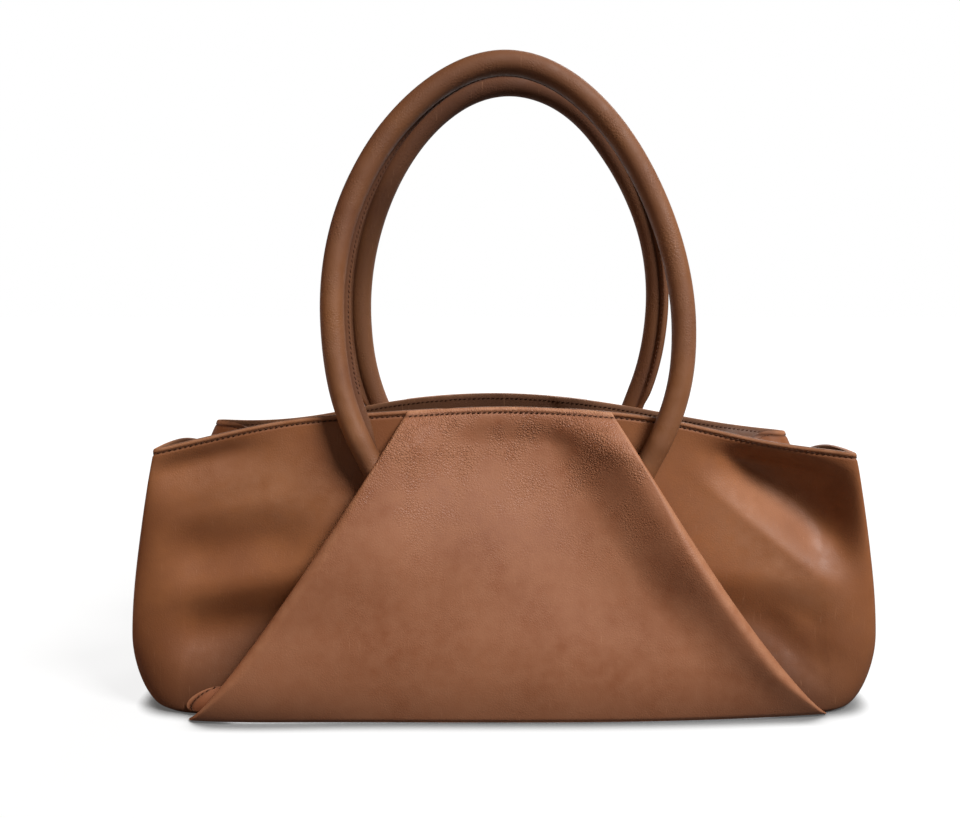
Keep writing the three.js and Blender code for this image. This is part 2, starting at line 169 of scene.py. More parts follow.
class HandbagFinish(bpy.types.PropertyGroup):
    """Colours of the leather, cloth, thread and metal"""

    panel: colour("Centre panel", "#8c573a", "Leather of the centre panels and the base")
    panel_deep: colour("Centre panel, deep", "#7b4528", "Deeper tone of the centre panels")
    side: colour("Side panel", "#8a5531", "Leather of the side panels")
    side_deep: colour("Side panel, deep", "#744222", "Deeper tone of the side panels")
    # The handles are the same leather as the panels, painted darker as shade
    handle: colour("Handle", "#774925", "Leather of the handles")
    handle_deep: colour("Handle, deep", "#62381e", "Deeper tone of the handles")
    # The facing is the same leather as the panels, painted darker as shade inside the mouth
    facing: colour("Facing", "#603b20", "Leather inside the rim")
    facing_deep: colour("Facing, deep", "#4c2d18", "Deeper tone of the facing")
    # Pale for rubbed edges and scuffs, and for painted highlights
    worn_and_highlight: colour("Worn edge", "#ab7a5a", "Leather rubbed pale on its edges")
    # Dark tone for painted shade in creases, stitch lines, seams, inside the mouth and towards the foot, and
    # for the dark flecks of cloth, thread and board
    crease: colour("Crease", "#4a2813", "Leather in creases and stitch holes")
    lining: colour("Lining", "#4d3322", "Woven lining")
    # The thread's own brown, painted darker as the shade of its stitch holes
    thread: colour("Thread", "#432514", "Sewing thread")
    brass: colour("Brass", "#b8a473", "Plated metal of the snap")
    tarnish: colour("Tarnish", "#7d6a40", "Dulled plating")
    board: colour("Board", "#a58c68", "Fibre board in the base")
    cord: colour("Cord", "#cfc3a8", "Cotton cord in the handles")


class HandbagStudio(bpy.types.PropertyGroup):
    """The floor, the lamps and the camera"""

    floor_half_size: length("Floor half size", 6000, "Half the length of the floor")
    floor: colour("Floor", "#666666", "Colour of the pale floor")
    camera_distance: length("Camera distance", 639.6, "How far in front of the middle the camera stands")
    camera_height: length("Camera height", 247.9, "Height of the camera")
    camera_pitch: angle("Camera pitch", 7.05, "How far the camera looks down")
    camera_offset: length("Camera offset", -13.9, "How far right of the middle the camera stands")
    lens: bpy.props.FloatProperty(
        name="Lens", description="Focal length in millimetres", default=39.9, unit="CAMERA")


@dataclass(frozen=True)
class RimDip:
    """A slack stretch of the rim, in millimetres from the middle of the face"""

    x: float
    width: float
    depth: float


@dataclass(frozen=True)
class Fold:
    """A soft ridge, or a hollow where its height is negative, drawn on a panel as seen from outside"""

    x: float
    z: float
    degrees: float
    reach: float
    width: float
    height: float


@dataclass(frozen=True)
class Sag:
    """Slack leather that drops steeply along a line and comes back slowly; it lies on the line's left"""

    x: float
    z: float
    degrees: float
    reach: float
    bank: float
    span: float
    depth: float


@dataclass(frozen=True)
class Drift:
    """A sideways drift, in millimetres, of a handle between two shares of its length from left to right"""

    start: float
    end: float
    shift: float


@dataclass(frozen=True)
class Face:
    """One half of the bag, modelled as the front; turn is -1 for the half that is turned round"""

    name: str
    turn: int
    left: str
    right: str
    rim_dips: tuple
    handle_drifts: tuple
    corner_pull: float
    end_sink: float
    corner_lift: float
    fin_tilt: float
    fin_twist: float
    fin_start: float
    left_sags: tuple
    right_sags: tuple
    left_folds: tuple
    right_folds: tuple
    # Painted highlights: patches painted pale where the light falls on the side panels
    left_highlights: tuple = ()
    right_highlights: tuple = ()

    def side_name(self, side):
        return self.left if side < 0 else self.right

    def folds(self, side):
        return self.left_folds if side < 0 else self.right_folds

    def sags(self, side):
        return self.left_sags if side < 0 else self.right_sags

    def highlights(self, side):
        """Painted highlights: places painted pale where the light falls, drawn like folds; the height is the
        share
        """
        return self.left_highlights if side < 0 else self.right_highlights


# Folds in millimetres: x from the middle of the bag outwards, z up, degrees turned up from outwards
FRONT = Face(
    "front", 1, "left", "right",
    rim_dips=(RimDip(150, 48, 5), RimDip(-125, 45, -2.5)),
    handle_drifts=(
        Drift(-1, 0, 2.3), Drift(0.12, 0.31, -4.6), Drift(0.34, 0.48, 2.3), Drift(0.66, 0.92, 3.3)),
    corner_pull=0,
    end_sink=8,
    corner_lift=2.2,
    fin_tilt=34,
    fin_twist=36,
    fin_start=-14,
    left_sags=(
        Sag(166, 126, -16, 34, 24, 20, 5),
        Sag(160, 120, 170, 40, 26, 26, 6),
        Sag(144, 82, 170, 54, 40, 130, 16),
    ),
    right_sags=(
        Sag(152, 98, -39, 50, 27, 38, 19),
        Sag(140, 82, 174, 46, 32, 60, 8.5),
        Sag(184, 46, 152, 30, 18, 30, 4.5),
    ),
    left_folds=(Fold(182, 26, 20, 30, 14, 2.5),),
    right_folds=(
        Fold(180, 34, -46, 22, 6, 1.3),
        Fold(173, 25, -44, 22, 4, -1.4),
    ),
    # Painted highlights on the side panels, pale where the light falls
    left_highlights=(Fold(132, 130, 8, 50, 20, 0.5),),
    right_highlights=(Fold(154, 88, -39, 46, 14, 0.55),),
)
BACK = Face(
    "back", -1, "right", "left",
    rim_dips=(RimDip(-150, 85, 8), RimDip(128, 55, 6), RimDip(206, 30, -4)),
    handle_drifts=(
        Drift(0.01, 0.10, 2.6), Drift(0.05, 0.30, -7), Drift(0.36, 0.46, -2.6), Drift(0.38, 0.56, 4),
        Drift(0.58, 0.90, -5)),
    corner_pull=10,
    end_sink=1,
    corner_lift=1,
    fin_tilt=116,
    fin_twist=34,
    fin_start=0,
    left_sags=(
        Sag(164, 120, -36, 38, 15, 44, 11),
        Sag(140, 74, 165, 44, 16, 50, 9),
    ),
    right_sags=(
        Sag(168, 122, -30, 36, 15, 40, 8),
        Sag(144, 82, 172, 42, 16, 56, 10),
    ),
    left_folds=(Fold(150, 96, -32, 46, 14, 2.4), Fold(180, 32, -40, 26, 8, 1.8)),
    right_folds=(Fold(150, 104, -26, 46, 14, 2.4), Fold(178, 30, 22, 30, 12, 2.4)),
)
FACES = (FRONT, BACK)
SIDES = (-1, 1)

# How the body's curves bend, as in the packed solids
RIM_ARCH = 1.75
RIM_PULL = 3
BELLY_TAPER = 2
WALL_SLACK = 1.6
END_FOLD = 1.6
CORNER_FLARE = 2.5
BOW_RISE = 4
END_DROP = 3 * MM
PLEAT_CURVE = 0.9
PLEAT_SLUMP = 0.6
PLEAT_SLUMP_REACH = (0.25, 0.75)

# The corners' swell at the foot, as a share, and the shares of the height between which it is full
FOOT_SWELL = 0.5
END_FOOT_SWELL = 0.4
FULL_SWELL_FROM = 0.3
FULL_SWELL_TO = 0.5

# A quarter of the wall runs from under the pleat (0) through its corner to the end seam (1)
CORNER_START = 0.5
CORNER_END = 0.7
NUDGE = 0.004
SEAM_MEET = 0.85
SEAM_PULL = 5
MITRE_LIMIT = 0.2
WALL_FOOT = 0.5 * MM

# Where along a quarter the rim sinks into the folded end, and where it stands up at the corner
SINK_PLACE = 0.91
SINK_WIDTH = 0.07
LIFT_PLACE = 0.76
LIFT_WIDTH = 0.08

# The turned edge's puff over its stitches, placed by shares of their distance from the rim
EDGE_PUFF = 0.35 * MM
PUFF_PLACE = 0.4
PUFF_WIDTH = 0.45

# Where the folds of the walls die out: before the corner, under the pleat, under the rim, above the foot
FOLDS_BEFORE_CORNER = 0.06
FOLDS_UNDER_PLEAT = (-16 * MM, -4 * MM)
FOLDS_UNDER_RIM = (1 * MM, 16 * MM)
FOLDS_ABOVE_FOOT = (0, 56 * MM)


def mix(a, b, share):
    return a + (b - a) * share


def ease(start, end, value):
    """0 before start, 1 after end, smooth between"""
    share = np.clip((value - start) / (end - start), 0, 1)
    return share * share * (3 - 2 * share)


def bell(value, width):
    return np.exp(-(value / width) ** 2)


def plateau(value, width):
    return np.exp(-(value / width) ** 4)


def rim_height(face, x):
    """Height of the rim: an arch with the face's slack stretches"""
    body = bpy.context.scene.handbag_body
    reach = np.minimum(1, np.abs(x) / body.rim_half_length)
    arch = body.rim_centre_height - (body.rim_centre_height - body.rim_corner_height) * reach ** RIM_ARCH
    for dip in (face.rim_dips if face else ()):
        arch = arch - dip.depth * MM * bell(x - dip.x * MM, dip.width * MM)
    return arch


def wall_height(face, x, rise):
    return mix(WALL_FOOT, rim_height(face, x), rise)


def rise_at(face, x, z):
    return (z - WALL_FOOT) / (rim_height(face, x) - WALL_FOOT)


def corner_half_length(rise, pull=0):
    """Half length at the corners: it swells to the belly, rounds in below and may be pulled in above"""
    body = bpy.context.scene.handbag_body
    z = mix(WALL_FOOT, body.rim_corner_height, rise)
    below = np.clip((body.belly_height - z) / body.belly_height, 0, 1)
    above = np.clip((z - body.belly_height) / (body.rim_corner_height - body.belly_height), 0, 1)
    under = mix(body.end_foot_half_length, body.belly_half_length, np.sqrt(1 - below ** 2))
    over = mix(body.belly_half_length, body.rim_half_length, above ** BELLY_TAPER)
    return np.where(z < body.belly_height, under, over) - pull * MM * rise ** RIM_PULL


def wall_half_depth(x, rise, pull=0):
    """Half depth of the wall: slack behind the pleats, full at the corners"""
    body = bpy.context.scene.handbag_body
    slack = np.clip(1 - rise, 0, 1) ** WALL_SLACK
    middle = mix(body.mouth_half_depth, body.wall_foot_half_depth, slack)
    corner = mix(body.corner_foot_half_depth, body.rim_corner_half_depth, rise)
    reach = np.minimum(1, np.abs(x) / corner_half_length(rise, pull))
    return mix(middle, corner, reach ** CORNER_FLARE)


def corner_run(rise):
    """How far before its tip a corner begins to turn: furthest at the belly"""
    body = bpy.context.scene.handbag_body
    low = mix(FOOT_SWELL, 1, ease(0, FULL_SWELL_FROM, rise))
    return body.corner_reach + body.corner_swell * low * (1 - ease(FULL_SWELL_TO, 1, rise))


def quarter_plan(t, rise, start_x, pull=0):
    """Plan of the right front quarter, as complex x + iy: its run, the curve of its corner and its end"""
    body = bpy.context.scene.handbag_body
    reach = corner_run(rise)
    low = mix(END_FOOT_SWELL, 0, ease(0, FULL_SWELL_FROM, rise))
    end_reach = body.corner_reach + body.corner_swell * low
    turn_x = corner_half_length(rise, pull) - reach
    turn = turn_x - 1j * wall_half_depth(turn_x, rise, pull)
    step = MM / 100
    ahead = step + turn_x - 1j * wall_half_depth(turn_x + step, rise, pull) - turn
    ahead = ahead / np.abs(ahead)
    tip = turn + ahead * reach
    seam = corner_half_length(rise, SEAM_PULL) - body.end_inset - body.end_fold_depth * rise ** END_FOLD + 0j
    along = (seam - tip) / np.abs(seam - tip)
    turned_in = tip + along * end_reach
    x = mix(start_x, turn_x, t / CORNER_START)
    front = x - 1j * wall_half_depth(x, rise, pull)
    bend = np.clip((t - CORNER_START) / (CORNER_END - CORNER_START), 0, 1)
    corner = mix(mix(turn, tip, bend), mix(tip, turned_in, bend), bend)
    past = np.clip((t - CORNER_END) / (1 - CORNER_END), 0, 1)
    end = mix(turned_in, seam, past)
    end = end - 1j * body.end_bow * np.sin(math.pi * past) ** 2 * rise ** BOW_RISE
    return np.where(t <= CORNER_START, front, np.where(t < CORNER_END, corner, end))


def wall_point(face, side, t, rise, inset, start_x):
    """Points on a quarter of the wall, moved inwards by inset; side is -1 on the left and 1 on the right

    Near the end seam they also move along the wall and to one height, so that both halves meet there.
    """
    plan = quarter_plan(t, rise, start_x, face.corner_pull)
    along = quarter_plan(np.minimum(1, t + NUDGE), rise, start_x, face.corner_pull)
    along = along - quarter_plan(np.maximum(0, t - NUDGE), rise, start_x, face.corner_pull)
    along = along / np.abs(along)
    meeting = ease(SEAM_MEET, 1, t)
    mitre = -along.real / np.maximum(MITRE_LIMIT, along.imag) * meeting
    moved = plan + (1j + mitre) * inset * along
    sink = face.end_sink * MM * bell(t - SINK_PLACE, SINK_WIDTH) * (1 - meeting)
    lift = face.corner_lift * MM * bell(t - LIFT_PLACE, LIFT_WIDTH)
    slump = END_DROP * ease(CORNER_END, 1, t) + sink - lift
    x = side * plan.real
    other = BACK if face is FRONT else FRONT
    height = mix(wall_height(face, x, rise), wall_height(other, -x, rise), meeting / 2)
    return np.stack([side * moved.real, moved.imag, height - slump * rise ** BOW_RISE], axis=-1)


def pleat_half_width(rise):
    pleat = bpy.context.scene.handbag_pleat
    return pleat.foot_half_width - (pleat.foot_half_width - pleat.top_half_width) * rise ** PLEAT_CURVE


def pleat_start(side, rise):
    """Where a side panel begins, under the pleat"""
    pleat = bpy.context.scene.handbag_pleat
    return pleat_half_width(rise) + side * pleat.shift - pleat.underlap


def pleat_stand(face, rise, reach):
    """How far the centre panel stands off the wall: most at its folds, over the handles' feet"""
    pleat = bpy.context.scene.handbag_pleat
    handle = bpy.context.scene.handbag_handle
    top = rise_at(face, handle.hinge_half_span, handle.hinge_height - handle.pleat_crossing)
    below = np.sin(math.pi / 2 * np.clip(rise / top, 0, 1))
    above = np.cos(math.pi / 2 * np.clip((rise - top) / (1 - top), 0, 1))
    lift = np.where(rise < top, below, above)
    lift = lift * mix(PLEAT_SLUMP, 1, ease(*PLEAT_SLUMP_REACH, reach))
    return mix(pleat.foot_stand, pleat.rim_stand, rise) + pleat.lift * lift


def stitch_line(below_rim):
    """Relief of the turned edge: puffed at the rim, pulled in along the stitches"""
    sewing = bpy.context.scene.handbag_stitching
    groove = bell(below_rim - sewing.rim_drop, sewing.groove_width)
    puff = bell(below_rim - sewing.rim_drop * PUFF_PLACE, sewing.rim_drop * PUFF_WIDTH)
    return EDGE_PUFF * puff - sewing.groove_depth * groove


def along_line(line, x, z):
    """How far a place lies along the line of a fold or sag, and how far to the line's left"""
    turn = math.radians(line.degrees)
    dx = x - line.x * MM
    dz = z - line.z * MM
    return dx * math.cos(turn) + dz * math.sin(turn), dz * math.cos(turn) - dx * math.sin(turn)


def fold_relief(folds, x, z):
    """Sum of a panel's folds at x, counted outwards from the middle, and z"""
    total = np.zeros_like(x)
    for fold in folds:
        along, across = along_line(fold, x, z)
        total += fold.height * MM * bell(along, fold.reach * MM) * bell(across, fold.width * MM)
    return total


def sag_relief(sags, x, z):
    """Sum of a panel's sags at x, counted outwards from the middle, and z"""
    total = np.zeros_like(x)
    for sag in sags:
        along, inside = along_line(sag, x, z)
        dropped = ease(0, sag.bank * MM, inside)
        back = ease(sag.bank * MM, (sag.bank + sag.span) * MM, inside)
        total -= sag.depth * MM * dropped * (1 - back) * plateau(along, sag.reach * MM)
    return total


def wall_relief(face, side, t, rise, start_x):
    """How far a quarter's folds stand out of the plain wall"""
    plain = wall_point(face, side, t, rise, 0, start_x)
    x, z = np.abs(plain[:, 0]), plain[:, 2]
    below_rim = rim_height(face, plain[:, 0]) - z
    relief = np.zeros_like(x)
    for way in SIDES:
        folds = fold_relief(face.folds(way), x, z) + sag_relief(face.sags(way), x, z)
        relief += np.where(side == way, folds, 0)
    past_pleat = x - pleat_half_width(rise) - side * bpy.context.scene.handbag_pleat.shift
    relief = relief * (1 - ease(CORNER_START - FOLDS_BEFORE_CORNER, CORNER_END - FOLDS_BEFORE_CORNER, t))
    relief = relief * ease(*FOLDS_UNDER_PLEAT, past_pleat)
    return relief * ease(*FOLDS_UNDER_RIM, below_rim) * ease(*FOLDS_ABOVE_FOOT, z)


def relief_beside_pleat(face, side, x, rise):
    """The folds' relief at a distance x from the middle, short of the corner"""
    start = pleat_start(side, rise)
    run = corner_half_length(rise, face.corner_pull) - corner_run(rise) - start
    return wall_relief(face, side, CORNER_START * np.clip((x - start) / run, 0, 1), rise, start)


def deselect_all():
    bpy.ops.object.select_all(action="DESELECT")


def grid_piece(name, place, traits=None, *, columns, rows):
    """A grid laid on a surface: place gives the points for shares across and up, traits name attributes"""
    deselect_all()
    bpy.ops.mesh.primitive_grid_add(x_subdivisions=columns, y_subdivisions=rows, size=1, calc_uvs=True)
    piece = bpy.context.object
    piece.name = name
    mesh = piece.data
    mesh.name = name
    corners = np.empty(len(mesh.vertices) * 3)
    mesh.vertices.foreach_get("co", corners)
    flat = corners.reshape(-1, 3)
    across = np.clip(flat[:, 0] + 0.5, 0, 1)
    up = np.clip(flat[:, 1] + 0.5, 0, 1)
    mesh.vertices.foreach_set("co", place(across, up).astype(np.float32).ravel())
    for trait, values in (traits(across, up) if traits else {}).items():
        mesh.attributes.new(trait, "FLOAT", "POINT").data.foreach_set("value", values.astype(np.float32))
    mesh.update()
    return piece


def thicken(piece, thickness, edge_radius):
    """Gives a sheet its thickness inwards and rounds its cut edges"""
    solid = piece.modifiers.new("Thickness", "SOLIDIFY")
    solid.thickness = thickness
    solid.offset = -1
    bevel = piece.modifiers.new("Soft edges", "BEVEL")
    bevel.width = edge_radius
    bevel.segments = 2
    bevel.limit_method = "ANGLE"
    bevel.angle_limit = math.radians(50)
    bpy.context.view_layer.objects.active = piece
    for modifier in [solid.name, bevel.name]:
        bpy.ops.object.modifier_apply(modifier=modifier)


def settle(piece, material, body, slot, *nodes):
    """Shades a piece smooth, gives it its material and body, and puts it in place of its nodes"""
    deselect_all()
    piece.select_set(True)
    bpy.context.view_layer.objects.active = piece
    bpy.ops.object.shade_smooth()
    piece.data.materials.clear()
    piece.data.materials.append(material)
    if nodes:
        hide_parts(*nodes)
    if body:
        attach(piece, body)
    return piece


def walked_along(line):
    """How far along a line of points each of them lies"""
    steps = np.linalg.norm(np.diff(line, axis=0), axis=1)
    return np.concatenate([[0], np.cumsum(steps)])


def points_between(at, stops, points):
    """Points at places between the stops, by straight steps"""
    return np.stack([np.interp(at, stops, points[:, i]) for i in range(3)], axis=-1)


def unit(vectors):
    """The same directions at length 1"""
    return vectors / np.linalg.norm(vectors, axis=1)[:, None]


def turned(face, points):
    """Points of the front half, turned round for the back"""
    return points * np.array([face.turn, face.turn, 1.0])


def add_node(tree, kind, inputs=None, **settings):
    """Adds a node with its settings; an input is a value or the socket that feeds it"""
    node = tree.nodes.new(kind)
    for name, value in settings.items():
        setattr(node, name, value)
    for name, value in (inputs or {}).items():
        if isinstance(value, bpy.types.NodeSocket):
            tree.links.new(value, node.inputs[name])
        else:
            node.inputs[name].default_value = value
    return node


def new_material(name):
    """An empty node material and its tree"""
    material = bpy.data.materials.new(name)
    material.use_nodes = True
    material.node_tree.nodes.clear()
    return material, material.node_tree


def made_once(name, make, *values):
    """The material of that name, made when it is first asked for"""
    return bpy.data.materials.get(name) or make(name, *values)


def wave_scale(spacing):
    """The scale of a wave texture whose bands are that far apart"""
    return 2 * math.pi / (20 * spacing)


def soft_leather(name, light, deep, grain_depth):
    """Full-grain calf, drum-dyed and lightly waxed: cloudy colour, fine pebbled grain, a soft low gloss"""
    finish = bpy.context.scene.handbag_finish
    material, tree = new_material(name)
    place = add_node(tree, "ShaderNodeTexCoord").outputs["Object"]
    # Cloudy dye, 50 mm across, and a finer mottle of 8 mm
    cloud = add_node(tree, "ShaderNodeTexNoise", {"Vector": place, "Scale": 1 / (50 * MM), "Detail": 3.0})
    mottle = add_node(tree, "ShaderNodeTexNoise", {"Vector": place, "Scale": 1 / (8 * MM), "Detail": 4.0})
    cloudy = add_node(tree, "ShaderNodeMapRange", {
        "Value": cloud.outputs["Fac"], "From Min": 0.35, "From Max": 0.68})
    dye = add_node(tree, "ShaderNodeMix", {
        "Factor": cloudy.outputs["Result"], "A": light, "B": deep}, data_type="RGBA")
    spots = add_node(tree, "ShaderNodeMapRange", {
        "Value": mottle.outputs["Fac"], "From Min": 0.35, "From Max": 0.75, "To Max": 0.32})
    mottled = add_node(tree, "ShaderNodeMix", {
        "Factor": spots.outputs["Result"], "A": dye.outputs["Result"], "B": deep}, data_type="RGBA")
    # Pebbles about 1.5 mm wide with creases between them, wavering so that no row shows
    waver = add_node(tree, "ShaderNodeTexNoise", {"Vector": place, "Scale": 1 / (4 * MM), "Detail": 2.0})
    bent = add_node(tree, "ShaderNodeVectorMath", {
        0: waver.outputs["Color"], 1: (1.6 * MM,) * 3, 2: place}, operation="MULTIPLY_ADD")
    pebble = add_node(tree, "ShaderNodeTexVoronoi", {
        "Vector": bent.outputs["Vector"], "Scale": 1 / (1.5 * MM)}, feature="DISTANCE_TO_EDGE")
    swell = add_node(tree, "ShaderNodeMapRange", {
        "Value": pebble.outputs["Distance"], "From Max": 0.30}, interpolation_type="SMOOTHSTEP")
    # They show in patches some 20 mm wide, where the piece's own attribute lets them
    patch = add_node(tree, "ShaderNodeTexNoise", {"Vector": place, "Scale": 1 / (20 * MM), "Detail": 2.0})
    patchy = add_node(tree, "ShaderNodeMapRange", {
        "Value": patch.outputs["Fac"], "From Min": 0.40, "From Max": 0.62, "To Min": 0.12})
    grain = add_node(tree, "ShaderNodeAttribute", attribute_name="grain")
    grain_share = add_node(tree, "ShaderNodeMath", {
        0: grain.outputs["Fac"], 1: patchy.outputs["Result"], 2: 0.05}, operation="MULTIPLY_ADD")
    # Rubbed edges and painted highlights, and painted shade in creases, seams and stitch lines, come from the
    # piece's own attributes, the pale ones broken up by the mottle
    wear = add_node(tree, "ShaderNodeAttribute", attribute_name="wear")
    rubbed_and_lit = add_node(tree, "ShaderNodeMath", {
        0: wear.outputs["Fac"], 1: mottle.outputs["Fac"]}, operation="MULTIPLY")
    crease = add_node(tree, "ShaderNodeAttribute", attribute_name="crease")
    pale = add_node(tree, "ShaderNodeMix", {
        "Factor": rubbed_and_lit.outputs["Value"], "A": mottled.outputs["Result"],
        "B": finish.worn_and_highlight}, data_type="RGBA")
    with_painted_shade = add_node(tree, "ShaderNodeMix", {
        "Factor": crease.outputs["Fac"], "A": pale.outputs["Result"],
        "B": finish.crease}, data_type="RGBA")
    # Fine pale scuffs: thin streaks 0.7 mm wide and some 12 mm long, few of them
    streaks = add_node(tree, "ShaderNodeMapping", {
        "Vector": place, "Rotation": (0.3, 0.5, 0.4),
        "Scale": (1 / (0.7 * MM), 1 / (3 * MM), 1 / (12 * MM))})
    scuff = add_node(tree, "ShaderNodeTexNoise", {
        "Vector": streaks.outputs["Vector"], "Scale": 1.0, "Detail": 1.0})
    scuffed = add_node(tree, "ShaderNodeMapRange", {
        "Value": scuff.outputs["Fac"], "From Min": 0.70, "From Max": 0.78, "To Max": 0.22})
    skin = add_node(tree, "ShaderNodeMix", {
        "Factor": scuffed.outputs["Result"], "A": with_painted_shade.outputs["Result"],
        "B": finish.worn_and_highlight}, data_type="RGBA")
    gloss = add_node(tree, "ShaderNodeMapRange", {
        "Value": mottle.outputs["Fac"], "From Min": 0.3, "From Max": 0.7, "To Min": 0.50, "To Max": 0.66})
    duller = add_node(tree, "ShaderNodeMath", {
        0: crease.outputs["Fac"], 1: 0.28, 2: gloss.outputs["Result"]}, operation="MULTIPLY_ADD")
    # Creasing of 3 mm under the grain, as soft leather shows where it has been handled
    ripple = add_node(tree, "ShaderNodeTexNoise", {
        "Vector": place, "Scale": 1 / (3.2 * MM), "Detail": 3.0, "Roughness": 0.55})
    soft = add_node(tree, "ShaderNodeBump", {
        "Height": ripple.outputs["Fac"], "Strength": 0.22, "Distance": 0.22 * MM})
    fine = add_node(tree, "ShaderNodeBump", {
        "Height": swell.outputs["Result"], "Strength": grain_share.outputs["Value"],
        "Distance": grain_depth, "Normal": soft.outputs["Normal"]})
    shader = add_node(tree, "ShaderNodeBsdfPrincipled", {
        "Base Color": skin.outputs["Result"], "Roughness": duller.outputs["Value"], "IOR": 1.5,
        "Specular IOR Level": 0.38, "Normal": fine.outputs["Normal"]})
    add_node(tree, "ShaderNodeOutputMaterial", {"Surface": shader.outputs["BSDF"]})
    return material


def woven_lining(name):
    """Cotton twill, woven and piece-dyed: matt, with fine diagonal ribs, drawn 0.9 mm apart so they show"""
    finish = bpy.context.scene.handbag_finish
    material, tree = new_material(name)
    place = add_node(tree, "ShaderNodeTexCoord").outputs["Object"]
    rib = add_node(tree, "ShaderNodeTexWave", {
        "Vector": place, "Scale": wave_scale(0.9 * MM), "Distortion": 0.6, "Detail": 1.0,
        "Detail Scale": 2.0}, wave_type="BANDS", bands_direction="DIAGONAL")
    slub = add_node(tree, "ShaderNodeTexNoise", {"Vector": place, "Scale": 1 / (6 * MM), "Detail": 4.0})
    shade = add_node(tree, "ShaderNodeMapRange", {
        "Value": slub.outputs["Fac"], "From Min": 0.3, "From Max": 0.7, "To Max": 0.5})
    dark = add_node(tree, "ShaderNodeMix", {
        "Factor": shade.outputs["Result"], "A": finish.lining, "B": finish.crease}, data_type="RGBA")
    bump = add_node(tree, "ShaderNodeBump", {
        "Height": rib.outputs["Fac"], "Strength": 0.5, "Distance": 0.2 * MM})
    shader = add_node(tree, "ShaderNodeBsdfPrincipled", {
        "Base Color": dark.outputs["Result"], "Roughness": 0.9, "IOR": 1.5, "Specular IOR Level": 0.2,
        "Normal": bump.outputs["Normal"]})
    add_node(tree, "ShaderNodeOutputMaterial", {"Surface": shader.outputs["BSDF"]})
    return material


def bonded_thread(name):
    """Bonded polyester thread, twisted: a little satin, with plies that show as a fine slant"""
    finish = bpy.context.scene.handbag_finish
    material, tree = new_material(name)
    place = add_node(tree, "ShaderNodeTexCoord").outputs["Object"]
    ply = add_node(tree, "ShaderNodeTexWave", {
        "Vector": place, "Scale": wave_scale(0.5 * MM), "Distortion": 1.0}, bands_direction="DIAGONAL")
    tone = add_node(tree, "ShaderNodeMapRange", {"Value": ply.outputs["Fac"], "To Max": 0.35})
    dyed = add_node(tree, "ShaderNodeMix", {
        "Factor": tone.outputs["Result"], "A": finish.thread, "B": finish.crease}, data_type="RGBA")
    shader = add_node(tree, "ShaderNodeBsdfPrincipled", {
        "Base Color": dyed.outputs["Result"], "Roughness": 0.75, "IOR": 1.55, "Specular IOR Level": 0.2})
    add_node(tree, "ShaderNodeOutputMaterial", {"Surface": shader.outputs["BSDF"]})
    return material


def plated_brass(name):
    """Die-cast snap plated in pale brass: bright metal, dulled in soft patches by handling"""
    finish = bpy.context.scene.handbag_finish
    material, tree = new_material(name)
    place = add_node(tree, "ShaderNodeTexCoord").outputs["Object"]
    patch = add_node(tree, "ShaderNodeTexNoise", {"Vector": place, "Scale": 1 / (4 * MM), "Detail": 5.0})
    dulled = add_node(tree, "ShaderNodeMapRange", {
        "Value": patch.outputs["Fac"], "From Min": 0.45, "From Max": 0.75, "To Max": 0.6})
    metal = add_node(tree, "ShaderNodeMix", {
        "Factor": dulled.outputs["Result"], "A": finish.brass, "B": finish.tarnish}, data_type="RGBA")
    rough = add_node(tree, "ShaderNodeMapRange", {
        "Value": patch.outputs["Fac"], "From Min": 0.3, "From Max": 0.7, "To Min": 0.22, "To Max": 0.42})
    shader = add_node(tree, "ShaderNodeBsdfPrincipled", {
        "Base Color": metal.outputs["Result"], "Roughness": rough.outputs["Result"], "Metallic": 1.0})
    add_node(tree, "ShaderNodeOutputMaterial", {"Surface": shader.outputs["BSDF"]})
    return material


def pressed_board(name):
    """Pressed fibre board: matt and flecked with short fibres"""
    finish = bpy.context.scene.handbag_finish
    material, tree = new_material(name)
    place = add_node(tree, "ShaderNodeTexCoord").outputs["Object"]
    fleck = add_node(tree, "ShaderNodeTexNoise", {"Vector": place, "Scale": 1 / (1.5 * MM), "Detail": 6.0})
    tone = add_node(tree, "ShaderNodeMapRange", {
        "Value": fleck.outputs["Fac"], "From Min": 0.4, "From Max": 0.7, "To Max": 0.4})
    fibres = add_node(tree, "ShaderNodeMix", {
        "Factor": tone.outputs["Result"], "A": finish.board, "B": finish.crease}, data_type="RGBA")
    shader = add_node(tree, "ShaderNodeBsdfPrincipled", {
        "Base Color": fibres.outputs["Result"], "Roughness": 0.9})
    add_node(tree, "ShaderNodeOutputMaterial", {"Surface": shader.outputs["BSDF"]})
    return material


def twisted_cotton(name):
    """Twisted cotton cord: matt and cream, with slanting strands 3 mm apart"""
    finish = bpy.context.scene.handbag_finish
    material, tree = new_material(name)
    place = add_node(tree, "ShaderNodeTexCoord").outputs["Object"]
    strand = add_node(tree, "ShaderNodeTexWave", {
        "Vector": place, "Scale": wave_scale(3 * MM), "Distortion": 0.8}, bands_direction="DIAGONAL")
    tone = add_node(tree, "ShaderNodeMapRange", {"Value": strand.outputs["Fac"], "To Max": 0.3})
    cotton = add_node(tree, "ShaderNodeMix", {
        "Factor": tone.outputs["Result"], "A": finish.cord, "B": finish.board}, data_type="RGBA")
    bump = add_node(tree, "ShaderNodeBump", {
        "Height": strand.outputs["Fac"], "Strength": 0.6, "Distance": 0.4 * MM})
    shader = add_node(tree, "ShaderNodeBsdfPrincipled", {
        "Base Color": cotton.outputs["Result"], "Roughness": 0.95, "Normal": bump.outputs["Normal"]})
    add_node(tree, "ShaderNodeOutputMaterial", {"Surface": shader.outputs["BSDF"]})
    return material


